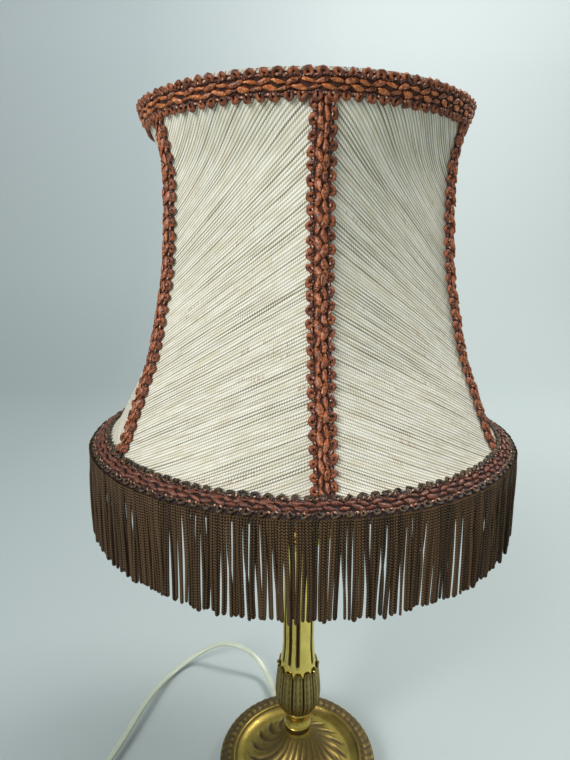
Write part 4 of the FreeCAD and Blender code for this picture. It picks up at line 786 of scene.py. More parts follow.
def make_flex():
    exit_point = polar(BUSH_END, CORD_AZIMUTH, CORD_HEIGHT)
    coil = coil_points()
    lead = [(COIL_CENTRE[0] - COIL_LEAD, coil[0][1], coil[0][2])]
    tail = [(COIL_CENTRE[0] + COIL_TAIL, coil[-1][1], coil[-1][2])]
    lamp_side = route_line([tuple(exit_point)] + list(LAMP_SIDE_ROUTE), "lamp_side_line")
    plug_side = route_line(list(PLUG_SIDE_ROUTE) + lead + coil + tail, "plug_side_line")
    declared = (
        ("flex_to_switch", lamp_side, ("flex_lamp_side",), "object",
         ["switch_base", "switch_cover", "switch_screws", "cord_bush"]),
        ("flex_to_plug", plug_side, ("flex_plug_side", "flex_coil"), "plug", ["plug_body", "plug_pins"]),
    )
    for name, line, nodes, far_end, others in declared:
        piece = flat_tube(name, line, twin_section())
        dress(piece, "stand", clear_plastic, *nodes, angle=60.0)


make_flex()


# ---- The shade's surface ----
FRAME_FOOT = foot_of("bottom_wire") + WIRE_RADIUS
SHADE_RISE = foot_of("top_wire") + WIRE_RADIUS - FRAME_FOOT
TOP_RING = 89.0
BOTTOM_RING = 128.0
WAIST = 84.1
CLOTH_OUT = 2.65
CLOTH = 0.8
OVER_TOP = 4.0
OVER_BOTTOM = 1.2
LOWER_RIB_SHARES = (
    (0.0, 1.0), (0.036, 0.756), (0.069, 0.667), (0.129, 0.568), (0.214, 0.434),
    (0.300, 0.296), (0.428, 0.165), (0.557, 0.062), (0.718, 0.009), (0.841, 0.0),
)
UPPER_RIB_SHARES = ((0.955, 0.571), (1.0, 1.0))
FULLNESS_SHARES = (
    (0.0, 1.0), (0.036, 0.97), (0.069, 0.92), (0.129, 0.8), (0.214, 0.62), (0.300, 0.47),
    (0.428, 0.30), (0.557, 0.18), (0.718, 0.14), (0.841, 0.28), (0.955, 0.85), (1.0, 1.0),
)


def eased(rows, at):
    """A smooth curve through a table's rows, read at one place."""
    at = min(max(at, rows[0][0]), rows[-1][0])
    index = max(k for k in range(len(rows) - 1) if rows[k][0] <= at)

    def slope(k):
        low = rows[max(k - 1, 0)]
        high = rows[min(k + 1, len(rows) - 1)]
        return (high[1] - low[1]) / (high[0] - low[0])

    (x0, y0), (x1, y1) = rows[index], rows[index + 1]
    span = x1 - x0
    t = (at - x0) / span
    return (
        (2 * t ** 3 - 3 * t ** 2 + 1) * y0 + (t ** 3 - 2 * t ** 2 + t) * span * slope(index)
        + (3 * t ** 2 - 2 * t ** 3) * y1 + (t ** 3 - t ** 2) * span * slope(index + 1)
    )


RIB_STEPS = 160


def rib_line():
    """The fabric's outer line at a rib, as (radius, height) at even steps of the way up."""
    steps = RIB_STEPS
    table = [(up, WAIST + (BOTTOM_RING - WAIST) * out) for up, out in LOWER_RIB_SHARES]
    table += [(up, WAIST + (TOP_RING - WAIST) * out) for up, out in UPPER_RIB_SHARES]
    wire = [
        Vector((eased(table, k / steps), FRAME_FOOT + SHADE_RISE * k / steps))
        for k in range(steps + 1)
    ]
    line = []
    for index, spot in enumerate(wire):
        way = (wire[min(index + 1, steps)] - wire[max(index - 1, 0)]).normalized()
        line.append(spot + Vector((way.y, -way.x)) * CLOTH_OUT)
    first = (line[0] - line[1]).normalized() * OVER_BOTTOM
    last = (line[-1] - line[-2]).normalized() * OVER_TOP
    return [line[0] + first] + line + [line[-1] + last]


RIB_LINE = rib_line()
RIB_RUN = [0.0]
for low, high in zip(RIB_LINE, RIB_LINE[1:]):
    RIB_RUN.append(RIB_RUN[-1] + (high - low).length)
CLOTH_LENGTH = RIB_RUN[-1]


def rib_at(run):
    """The fabric's outer line a distance up from its lower end, run on past both ends."""
    if run >= CLOTH_LENGTH:
        return RIB_LINE[-1] + (RIB_LINE[-1] - RIB_LINE[-2]).normalized() * (run - CLOTH_LENGTH)
    if run <= 0.0:
        return RIB_LINE[0] + (RIB_LINE[0] - RIB_LINE[1]).normalized() * -run
    low = bisect.bisect_right(RIB_RUN, run) - 1
    share = (run - RIB_RUN[low]) / (RIB_RUN[low + 1] - RIB_RUN[low])
    return RIB_LINE[low].lerp(RIB_LINE[low + 1], share)


def fullness(height):
    """How far the cloth rounds out between two ribs: 0 for a flat panel, 1 for a full circle."""
    return min(eased(FULLNESS_SHARES, (height - FRAME_FOOT) / SHADE_RISE), 1.0)


def cloth_place(degrees, run):
    """A place on the fabric's outer face at an azimuth, a distance up along the rib."""
    radius, height = rib_at(run)
    half = math.radians(PANEL_STEP / 2)
    off = math.radians((degrees - FRONT) % PANEL_STEP) - half
    chord = radius * math.cos(half)
    sagitta = (radius - chord) * max(fullness(height), 0.02)
    across = radius * math.sin(half)
    round_ = (across * across + sagitta * sagitta) / (2 * sagitta)
    centre = chord + sagitta - round_
    reach = centre * math.cos(off) + math.sqrt(round_ * round_ - (centre * math.sin(off)) ** 2)
    return polar(reach, degrees, height)


def cloth_frame(degrees, run, spread):
    """A place on the fabric with its outward normal, smoothed across the ribs by a spread."""
    spot = cloth_place(degrees, run)
    turn = math.degrees(spread / math.hypot(spot.x, spot.y))
    side = cloth_place(degrees + turn, run) - cloth_place(degrees - turn, run)
    rise = cloth_place(degrees, run + 1.0) - cloth_place(degrees, run - 1.0)
    return spot, side.cross(rise).normalized()


# ---- Fabric panels ----
PANEL_COLUMNS = 56
PANEL_ROWS = 84
PANEL_TRIM = 0.15
PANEL_SHIFT = 0.37
YARN_SLOPES = (
    (0.0, 0.47), (0.15, 0.5), (0.3, 0.56), (0.45, 0.64), (0.6, 0.75), (0.75, 0.9), (0.9, 1.08),
    (1.0, 1.2),
)
YARN_STEPS = 400
YARN_REACH = 160.0
YARN_SPAN = CLOTH_LENGTH + 2 * YARN_REACH


def yarn_slope(run):
    """How steeply a yarn climbs where it crosses the middle of a panel."""
    return eased(YARN_SLOPES, run / CLOTH_LENGTH)


def yarn_through(across, run):
    """The height at which the straight yarn through a place crosses the panel's middle."""
    level = run
    for _ in range(12):
        level = run - yarn_slope(level) * across
    return level


def yarn_widths():
    """The width of the yarns laid side by side, summed up a panel's middle in even steps."""
    widths = [0.0]
    for k in range(YARN_STEPS):
        level = -YARN_REACH + YARN_SPAN * (k + 0.5) / YARN_STEPS
        lean = math.cos(math.atan(yarn_slope(level)))
        widths.append(widths[-1] + lean * YARN_SPAN / YARN_STEPS)
    return widths


YARN_WIDTHS = yarn_widths()


def yarns_below(level):
    """The width of the yarns below a height in the panel's middle."""
    share = (level + YARN_REACH) / YARN_SPAN * YARN_STEPS
    index = min(max(int(share), 0), YARN_STEPS - 1)
    return YARN_WIDTHS[index] + (YARN_WIDTHS[index + 1] - YARN_WIDTHS[index]) * (share - index)


def make_panels():
    for number in range(RIBS):
        start = FRONT + PANEL_STEP * number
        mirror = 1 if number % 2 else -1
        deselect()
        bpy.ops.mesh.primitive_grid_add(
            x_subdivisions=PANEL_COLUMNS, y_subdivisions=PANEL_ROWS, size=2.0, calc_uvs=True
        )
        piece = bpy.context.object
        piece.name = f"shade_cloth_{number + 1}"
        settle(piece)
        spots = {}
        for vertex in piece.data.vertices:
            u, v = (vertex.co.x + 1) / 2, (vertex.co.y + 1) / 2
            trim = PANEL_TRIM / RIB_LINE[0].x
            degrees = start + PANEL_STEP * (trim + (1 - 2 * trim) * u)
            run = CLOTH_LENGTH * v
            place = cloth_place(degrees, run)
            half = math.radians(degrees - start - PANEL_STEP / 2)
            across = math.hypot(place.x, place.y) * math.sin(half) * mirror
            level = yarn_through(across, run)
            along = across / math.cos(math.atan(yarn_slope(level)))
            spots[vertex.index] = (yarns_below(level) * MM + PANEL_SHIFT * number, along * MM)
            vertex.co = place * MM
        layer = piece.data.uv_layers.active
        for loop in piece.data.loops:
            layer.data[loop.index].uv = spots[loop.vertex_index]
        piece.data.materials.append(shade_weave)
        piece.data.materials.append(lining_cloth)
        walled(piece, CLOTH, lining=1)
        dress(piece, "shade", shade_weave, f"panel_{number + 1}", angle=60.0)


make_panels()


# ---- Gimp braid ----
BRAID_PITCH = 6.2
BRAID_WIDTH = 13.0
SIDE_CORD_MIDDLE = 3.35
SIDE_CORD_WAVE = 0.45
SIDE_CORD_RADIUS = 0.62
SILK_TILT = 0.16
GROUND_WIDTH = 9.6


def picot(name, x, side, finish, reach, radius):
    """A loop of fat cord that stands out past the braid's edge."""
    ring = []
    for k in range(9):
        angle = math.radians(-142 + 284 * k / 8)
        ring.append((x + 1.5 * math.sin(angle), side * (reach - 1.3 + 1.3 * math.cos(angle)),
                     1.05 + 0.25 * math.cos(angle / 2)))
    return strand(name, ring, radius, finish)


def side_cord(name, side, length):
    """A thin dark cord that runs along beside the picots' feet."""
    steps = 12
    points = []
    for k in range(steps + 1):
        sway = SIDE_CORD_WAVE * math.cos(4 * math.pi * k / steps)
        points.append((length * k / steps, side * (SIDE_CORD_MIDDLE + sway), 1.0))
    return strand(name, points, SIDE_CORD_RADIUS, dark_cord)


def petal(name, x, y, length, width, turn, lift, finish, tall):
    """A smooth lens of silk, one end laid over the next."""
    deselect()
    bpy.ops.mesh.primitive_uv_sphere_add(segments=8, ring_count=6, radius=1.0)
    piece = bpy.context.object
    piece.name = name
    settle(piece)
    spin = Matrix.Rotation(math.radians(turn), 3, "Z") @ Matrix.Rotation(SILK_TILT, 3, "Y")
    for vertex in piece.data.vertices:
        along, side, up = vertex.co.z, vertex.co.x, vertex.co.y
        slim = 1 - 0.35 * along * along
        spot = spin @ Vector((along * length / 2, side * slim * width / 2, up * slim * tall))
        vertex.co = (spot + Vector((x, y, lift))) * MM
    piece.data.materials.append(finish)
    return piece


def gimp_cell(name, loop, silks, ground, plump=1.0, hem=0.0):
    """Two pitches of gimp: picots at both edges, dark cords beside them, two rows of silk between.

    A hem of ground cloth, with smaller picots on it, ends the lower edge where a fringe hangs."""
    pieces = []
    for half in (0, 1):
        start = BRAID_PITCH * half
        for side, shift in ((-1, 0.5), (1, 0.82)):
            reach, radius = (5.5, 0.72) if side < 0 and hem > 0 else (5.75, 0.98)
            pieces.append(picot(
                f"{name}_picot", start + BRAID_PITCH * shift, side, loop, reach, radius
            ))
            # Small pale copper lenses beside the picots: painted glints.
            pieces.append(petal(
                f"{name}_glint", start + BRAID_PITCH * (shift + 0.06 - 0.5 * half * side), side * 3.5,
                1.5, 0.85, 24.0 * side, 1.75, copper_glint, 0.42,
            ))
        for side, shift in ((-1, 0.3), (1, 0.8)):
            if half == (0 if side < 0 else 1):
                length, width, turn, lift = 7.4, 3.0, 14.0, 1.55
            else:
                length, width, turn, lift = 6.6, 2.3, -9.0, 1.3
            pieces.append(petal(
                f"{name}_silk", start + BRAID_PITCH * shift, side * 1.3, length, plump * width,
                turn * side, lift, silks[half], 0.95,
            ))
    for side in (-1, 1):
        pieces.append(side_cord(f"{name}_cord", side, 2 * BRAID_PITCH))
    # The tape under the cell, in shadow tones: painted shade in the spaces between the cords, and on the
    # foot braid also the hem.
    deselect()
    bpy.ops.mesh.primitive_grid_add(x_subdivisions=4, y_subdivisions=4, size=1.0, calc_uvs=True)
    tape = bpy.context.object
    for vertex in tape.data.vertices:
        x, y = vertex.co.x + 0.5, vertex.co.y
        low = y * GROUND_WIDTH - (0.5 - y) * hem
        vertex.co = Vector((x * 2 * BRAID_PITCH, low, 0.35 + 0.5 * (1 - 4 * y * y))) * MM
    tape.data.materials.append(ground)
    pieces.append(tape)
    return joined(name, *pieces)


def lay_braid(name, cell, count, lay, stretch, seed=0.0):
    """Makes a cell into a row, a little uneven as handwork is, and lays it on the shade by a rule."""
    repeat(cell, count, 2 * BRAID_PITCH)
    cell.name = name
    whole = count * 2 * BRAID_PITCH

    def uneven(x, y, z):
        calm = smooth_step(0.0, 4.0, x) * (1 - smooth_step(whole - 4.0, whole, x))
        shift = noise.noise_vector(Vector((x * 0.3 + seed, y * 0.35, seed))) * calm
        small = noise.noise_vector(Vector((x * 0.95, y * 0.95, z + seed))) * calm
        return lay(
            x * stretch + 1.1 * shift.x + 0.4 * small.x, y + 0.6 * shift.y + 0.4 * small.y,
            z * (1 + 0.3 * shift.z) + 0.3 * small.z * min(z, 1.0),
        )

    move(cell, uneven)


BAND_FOOT = 0.3
BAND_MIDDLE = BAND_FOOT + BRAID_WIDTH / 2
TOP_MIDDLE = CLOTH_LENGTH + 0.2 - BRAID_WIDTH / 2
RIB_BRAID_START = BRAID_WIDTH - 1.4
RIB_BRAID_END = CLOTH_LENGTH - BRAID_WIDTH + 2.6
BRAID_LIFT = 0.1
RIB_BRAID_SPREAD = 2.6
RING_BRAID_SPREAD = 2.0
RIB_BUMP_DEGREES = 3.4


def make_braids():
    rib_cell = gimp_cell("rib_cell", rust_cord, (rust_silk, rust_silk), braid_shade_ground)
    # Half of the top braid's silk petals are a brighter, glossier orange: painted satin highlights where
    # the band faces the light.
    top_cell = gimp_cell("top_cell", rust_cord, (satin_highlight_silk, rust_silk), braid_shade_ground, 0.8)
    foot_cell = gimp_cell(
        "foot_cell", brown_cord, (reddish_silk, reddish_silk), brown_hem_and_shade, 0.85, 2.3
    )
    run_length = RIB_BRAID_END - RIB_BRAID_START
    cells = round(run_length / (2 * BRAID_PITCH))
    for number in range(RIBS):
        azimuth = FRONT + PANEL_STEP * number

        def on_rib(x, y, z, azimuth=azimuth):
            run = RIB_BRAID_START + x
            radius = rib_at(run)[0]
            tuck = 1.1 * smooth_step(RIB_BRAID_END - 9.0, RIB_BRAID_END, run)
            spot, out = cloth_frame(azimuth + math.degrees(y / radius), run, RIB_BRAID_SPREAD)
            return spot + out * (BRAID_LIFT + z * 0.92 - tuck * 0.4)

        piece = added("rib", rib_cell.data.copy())
        lay_braid(f"rib_gimp_{number + 1}", piece, cells, on_rib,
                  run_length / (cells * 2 * BRAID_PITCH), 17.3 * number)
        dress(piece, "shade", rust_cord, f"rib_braid_{number + 1}", angle=70.0)

    def lay_round(piece, name, middle, node, rise):
        """Lays a braid round the shade. It rises over each rib's braid."""
        radius = rib_at(middle)[0]
        around = math.tau * radius
        count = round(around / (2 * BRAID_PITCH))

        def on_ring(x, y, z):
            degrees = FRONT + math.degrees(x / radius)
            off = (degrees - FRONT + PANEL_STEP / 2) % PANEL_STEP - PANEL_STEP / 2
            bump = rise * math.exp(-(off / RIB_BUMP_DEGREES) ** 2)
            spot, out = cloth_frame(degrees, middle + y, RING_BRAID_SPREAD)
            return spot + out * (BRAID_LIFT + z + bump)

        lay_braid(name, piece, count, on_ring, around / (count * 2 * BRAID_PITCH))
        mend_faces(piece, COPY_MERGE_METRES)
        dress(piece, "shade", rust_cord, node, angle=70.0)

    lay_round(top_cell, "top_gimp", TOP_MIDDLE, "top_braid", 0.7)
    lay_round(foot_cell, "foot_gimp", BAND_MIDDLE, "bottom_braid", 0.5)
    bpy.data.objects.remove(rib_cell)


make_braids()


# ---- Fringe ----
LOOPS = 324
LOOP_PARTS = 6
LOOPS_PER_CLUMP = 5
LEG_ROWS = 13
BEND_ROWS = 5
LEG_GAP = 1.3
LEG_RADIUS = 0.68
FRINGE_TOP = top_of("fringe") + 1.2
FRINGE_FOOT = foot_of("fringe")
FRINGE_RADIUS = 131.2
LOOP_END = 1.6


def loop_points():
    """One loop of chainette: down, round and up again."""
    points = []
    length = FRINGE_TOP - FRINGE_FOOT - LOOP_END
    for k in range(LEG_ROWS):
        points.append((-LEG_GAP / 2, 0.0, -length * k / (LEG_ROWS - 1)))
    for k in range(1, BEND_ROWS):
        angle = math.pi * k / BEND_ROWS
        points.append((-LEG_GAP / 2 * math.cos(angle), 0.0, -length - math.sin(angle)))
    points += [(-x, y, z) for x, y, z in reversed(points[:LEG_ROWS])]
    return points


def make_fringe():
    random.seed(21)
    per_part = LOOPS // LOOP_PARTS
    drop = FRINGE_TOP - FRINGE_FOOT
    clumps = [random.uniform(-1.0, 1.0) for _ in range(LOOPS // LOOPS_PER_CLUMP + 2)]
    for part in range(LOOP_PARTS):
        piece = strand(f"fringe_{part + 1}", loop_points(), LEG_RADIUS)
        corners = len(piece.data.vertices)
        repeat(piece, per_part, 0.0)
        tones = []
        for number in range(per_part):
            index = part * per_part + number
            azimuth = FRONT + 360.0 * index / LOOPS
            group = index // LOOPS_PER_CLUMP
            near = (index % LOOPS_PER_CLUMP) / LOOPS_PER_CLUMP
            clump = clumps[group] * (1 - near) + clumps[group + 1] * near
            lean = random.uniform(-0.55, 0.55) + clump * 1.1
            out = random.uniform(-0.95, 0.75)
            shorten = random.uniform(-1.7, 1.1)
            sway = random.uniform(-0.55, 0.55)
            phase = random.uniform(0, math.tau)
            twist = random.uniform(-1.9, 1.9)
            tones += [random.random()] * corners
            turn = Matrix.Rotation(math.radians(azimuth + 90.0), 3, "Z")
            for vertex in piece.data.vertices[number * corners:(number + 1) * corners]:
                x, y, z = vertex.co / MM
                share = max(-z / drop, 0.0)
                spin = Matrix.Rotation(twist * smooth_step(0.05, 0.8, share), 2)
                x, y = spin @ Vector((x, y))
                x += lean * share ** 1.2 + sway * math.sin(share * 4.2 + phase)
                y += out * smooth_step(0.0, 0.25, share) + 0.3 * math.sin(share * 3.1 + phase * 2)
                z = z * (1 - shorten / drop)
                spot = turn @ Vector((x, y - FRINGE_RADIUS, 0.0))
                vertex.co = Vector((spot.x, spot.y, FRINGE_TOP + z)) * MM
        piece.data.update()
        mark(piece, "tone", tones)
        nodes = ("fringe",) if part == 0 else ()
        dress(piece, "shade", fringe_chain, *nodes, angle=80.0)


make_fringe()


# ---- Foot ----
FOOT_RADIUS = radius_of("base_foot")
SWIRL_COUNT = 20
SWIRL_TURN = 0.466
DOME_NECK = 9.7
DOME_TOP = 40.0
SWIRL_END = 38.8
DISH_MIDDLE = 44.0
STEP_RADIUS = 46.0
RIM_IN = 49.0
RIM_OUT = 57.0
LEAVES_ON_RIM = 60
FOOT_SIDES = 540
WALL_INSIDE = 55.9


def foot_outline():
    """The foot's section: up the outside, over the dome, down its bore and along the inside."""
    top = [
        (58.0, 0.5), (FOOT_RADIUS, 4.5), (FOOT_RADIUS, 12.6, 2.6, 1), (57.0, 15.0, 34.0, 1),
        (48.6, 15.0, 1.5, 1), (46.6, 13.8, 12.0, -1), (40.5, 11.0, 33.2, -1), (DOME_NECK, DOME_TOP),
    ]
    rings = {2.6: 6, 34.0: 22, 1.5: 7, 12.0: 8, 33.2: 84}
    line = []
    for point, following in zip(top, top[1:]):
        line.append(point[:2])
        if len(point) == 4:
            line += bow(point[:2], following[:2], point[2], point[3], rings[point[2]])
    line.append(top[-1][:2])
    line += [(ROD_BORE, DOME_TOP), (ROD_BORE, 31.5), (9.5, 31.5)]
    line += bow((9.5, 31.5), (40.5, 8.5), 35.7, 1, 8)
    return line + [(40.5, 8.5), (45.2, 9.5), (WALL_INSIDE, 11.3), (WALL_INSIDE, 0.5), line[0]]


def swirl_relief(radius, angle):
    """The dome's ridges: how far they stand out, and how deep the place lies in a groove."""
    hook = 0.08 * smooth_step(28.0, 39.0, radius)
    phase = SWIRL_COUNT * (angle + SWIRL_TURN * math.log(radius / DOME_NECK) + hook) + math.pi
    wave = 0.5 + 0.5 * math.cos(phase)
    ridge = math.sqrt(wave)
    near = smooth_step(DOME_NECK + 0.3, 12.0, radius)
    end = 1 - smooth_step(SWIRL_END - 5.0, SWIRL_END + 0.6, radius + 4.6 * wave)
    tall = 0.5 + 0.75 * smooth_step(12.0, 30.0, radius)
    slot = smooth_step(0.55, 0.95, 1 - wave) * smooth_step(24.0, 33.0, radius)
    dark = near * end * max((1 - ridge) ** 1.6 * 0.75, slot)
    return near * end * (tall * (ridge - 0.45) - 0.5 * slot), min(dark, 1.0)


def rim_relief(radius, angle):
    """The rim's band of worn overlapping leaves between two plain edges."""
    across = (radius - (RIM_IN + RIM_OUT) / 2) / ((RIM_OUT - RIM_IN) / 2)
    fade = 1 - smooth_step(0.8, 1.0, abs(across))
    step = angle * LEAVES_ON_RIM / math.tau
    leaf = (step - 0.4 * abs(across + 0.3) ** 1.4) % 1.0
    body = math.sin(math.pi * leaf) ** 0.8
    wear = 0.5 + 0.5 * math.sin(angle * 23.0 + 1.7 * math.sin(angle * 7.0))
    berry = math.sin(math.pi * (step % 1.0)) * math.exp(-((across + 0.35) / 0.3) ** 2)
    outer = 0.4 * smooth_step(0.75, 1.1, across) * (0.5 + 0.5 * math.cos(step * math.tau))
    tall = (0.15 + 0.15 * wear) * body + 0.3 * berry - 0.15
    return fade * tall + outer, fade * (1 - max(body * (0.4 + 0.3 * wear), berry)) * 0.8


def make_foot():
    piece = lathed("foot_casting", foot_outline(), FOOT_SIDES)
    depths = []
    stains = []
    places = []
    for vertex in piece.data.vertices:
        x, y, _ = vertex.co / MM
        radius = math.hypot(x, y)
        angle = math.atan2(y, x)
        out = vertex.normal
        shown = out.z > 0.2 and radius > DOME_NECK
        lift, dark, stain = 0.0, 0.0, 0.0
        if shown and radius < DISH_MIDDLE:
            lift, dark = swirl_relief(radius, angle)
            stain = 0.75 * (1 - smooth_step(26.0, 38.0, radius))
        elif shown and RIM_IN - 1 < radius < RIM_OUT + 1:
            lift, dark = rim_relief(radius, angle)
            stain = 1.0 - 0.6 * smooth_step(0.1, 0.3, lift)
        elif radius > RIM_OUT + 0.2:
            stain = 1.0
        places.append(vertex.co + out * (lift * MM))
        # The dish's step ring and the foot's outer wall are darkened too.
        ring = 0.55 * (1 - smooth_step(0.0, 1.0, abs(radius - STEP_RADIUS) / 1.3)) if shown else 0.0
        wall = 0.7 if radius > RIM_OUT + 0.6 else 0.0
        depths.append(min(max(dark, ring, wall), 1.0))
        stains.append(min(max(stain, 0.0), 1.0))
    for vertex, spot in zip(piece.data.vertices, places):
        vertex.co = spot
    mark(piece, "patina_shade", depths)
    mark(piece, "tarnish", stains)
    dress(piece, "stand", foot_brass, "base_foot", angle=50.0)


make_foot()


# ---- Leaf cup ----
CUP_FOOT = foot_of("leaf_cup")
CUP_TOP = top_of("leaf_cup")
CUP_LEAVES = 12
CUP_LEAF = math.radians(265.0)
CUP_COLUMNS = 384
CUP_ROWS = 60
CUP_PROFILE = (
    (0.0, 9.2), (0.038, 11.4), (0.077, 12.7), (0.103, 13.2), (0.154, 14.2), (0.218, 15.3), (0.29, 16.0),
    (0.40, 16.4), (0.60, 15.9), (0.81, 15.1), (0.92, 14.7), (1.0, 14.9),
)
CUP_CORE = (
    (ROD_BORE, 0.0), (8.0, 0.0), (10.9, 3.0), (12.6, 8.0), (13.4, 14.0), (13.4, 31.0), (ROD_BORE, 31.4),
)
CUP_WALL = 1.1


def make_leaf_cup():
    height = CUP_TOP - CUP_FOOT
    rows = [
        (eased(CUP_PROFILE, k / CUP_ROWS), CUP_FOOT + height * k / CUP_ROWS)
        for k in range(CUP_ROWS + 1)
    ]
    piece = turned("leaf_cup_casting", rows, CUP_COLUMNS, closed=False)
    depths = []
    step = math.tau / CUP_LEAVES
    for vertex in piece.data.vertices:
        angle = math.atan2(vertex.co.y, vertex.co.x)
        level = (vertex.co.z / MM - CUP_FOOT) / height
        side = ((angle - CUP_LEAF) / step + 0.5) % 1.0 - 0.5
        between = abs(side) * 2
        notch = 2.8 * smooth_step(0.4, 1.0, between) ** 1.2
        share = level * (1 - notch / height)
        radius = eased(CUP_PROFILE, share)
        deep = smooth_step(0.0, 0.16, share)
        crease = smooth_step(0.66, 1.0, between)
        rib = 1 - smooth_step(0.0, 0.16, between)
        fold = 0.5 + 0.5 * math.cos(between * math.tau / 0.82)
        radius += deep * (0.15 * math.cos(between * math.pi / 2) - 1.3 * crease ** 2 - 0.1 * rib)
        vein = 0.5 + 0.5 * math.cos((share * height - between * 3.4) * math.tau / 5.2)
        field = deep * (1 - crease) * (1 - fold)
        radius += deep * 0.62 * (fold - 0.6) * (1 - crease) + 0.2 * (vein - 0.5) * field
        tip = smooth_step(0.93, 1.0, level)
        radius += tip * (0.3 - 0.5 * smooth_step(0.4, 1.0, between))
        # Dark patina in the creases between the leaves and in the veins along them; the cup is also a
        # little darker towards its foot and less dark at its tips.
        groove = (0.75 - 0.35 * vein) * (1 - fold) ** 1.5 * (1 - crease)
        patina_shade = max(0.95 * crease ** 2, groove) * deep * (1 - 0.7 * tip)
        depths.append(min(patina_shade + 0.2 * (1 - deep), 1.0))
        vertex.co = polar(radius, math.degrees(angle), CUP_FOOT + height * share) * MM
    mend_faces(piece)
    mark(piece, "patina_shade", depths)
    if sum(face.normal.dot(face.center.to_2d().to_3d()) for face in piece.data.polygons) < 0:
        opened(piece)
        bpy.ops.mesh.flip_normals()
        closed_up()
    walled(piece, CUP_WALL)
    core = turned("cup_core", [(radius, CUP_FOOT + rise) for radius, rise in CUP_CORE], 64)
    core.data.materials.append(cup_brass)
    # The core is dark all over: painted shade inside the cup's mouth.
    mark(core, "patina_shade", [0.9] * len(core.data.vertices))
    piece.data.materials.append(cup_brass)
    piece = joined("leaf_cup_casting", piece, core)
    dress(piece, "stand", cup_brass, "leaf_cup", angle=50.0)


make_leaf_cup()


# ---- Column ----
COLUMN_FOOT = foot_of("fluted_column")
COLUMN_TOP = top_of("fluted_column")
COLUMN_BEND = 36.0
COLUMN_SIDES = 360
FLUTES = (-157.0, -127.0, -97.0)
FLUTE_GROUPS = 3
FLUTE_HALF_WIDTH = 1.6
FLUTE_DEPTH = 0.95


def make_column():
    bend = COLUMN_FOOT + COLUMN_BEND
    rise = (COLUMN_TOP - 0.3) - bend
    line = outline_of([
        (ROD_BORE, COLUMN_FOOT), (13.2, COLUMN_FOOT), (13.4, COLUMN_FOOT + 6.0, 140.0, -1), (11.2, bend)
    ], 24)
    line += [(11.2 - 0.9 * k / 30, bend + rise * k / 30) for k in range(1, 31)]
    line += [(10.3, COLUMN_TOP), (ROD_BORE, COLUMN_TOP)]
    piece = turned("column_casting", line, COLUMN_SIDES)
    low, high = COLUMN_FOOT + 12.5, COLUMN_TOP - 8.0
    depths = []
    turn = 360.0 / FLUTE_GROUPS
    centres = [math.radians(flute + turn * k) for k in range(FLUTE_GROUPS) for flute in FLUTES]
    for vertex in piece.data.vertices:
        x, y, z = vertex.co / MM
        radius = math.hypot(x, y)
        depth = 0.0
        if radius > 9.0 and low - 2.0 < z < high + 2.0:
            angle = math.atan2(y, x)
            for centre in centres:
                off = (angle - centre + math.pi) % math.tau - math.pi
                side = off * radius
                end = max(low - z, z - high, 0.0)
                share = 1 - (side / FLUTE_HALF_WIDTH) ** 2 - (end / FLUTE_HALF_WIDTH) ** 2
                if share > 0:
                    depth = max(depth, math.sqrt(share))
        if depth:
            grow = (radius - FLUTE_DEPTH * depth) / radius
            vertex.co = Vector((x * grow, y * grow, z)) * MM
        depths.append(min(depth * 1.15, 1.0))
    mark(piece, "patina_shade", depths)
    dress(piece, "stand", column_brass, "fluted_column", angle=45.0)


make_column()


# ---- Neck spool ----
def make_spool():
    foot, top = foot_of("neck_spool"), top_of("neck_spool")
    piece = turned("spool_turning", [
        (ROD_BORE, foot), (9.2, foot), (9.4, foot + 0.3), (9.4, foot + 3.2), (9.75, foot + 3.45),
        (10.0, foot + 3.8), (10.0, foot + 4.3), (9.7, foot + 4.7, 13.0, -1), (8.6, foot + 13.2),
        (8.6, foot + 13.4, 1.7, 1), (8.6, top), (ROD_BORE, top),
    ], 128, 14)
    # The band below the bead is marked dark: painted shade under the bead, with patina.
    mark(piece, "patina_shade", [0.85 if v.co.z / MM < foot + 3.5 else 0.0 for v in piece.data.vertices])
    dress(piece, "stand", spool_brass, "neck_spool", angle=35.0)


make_spool()


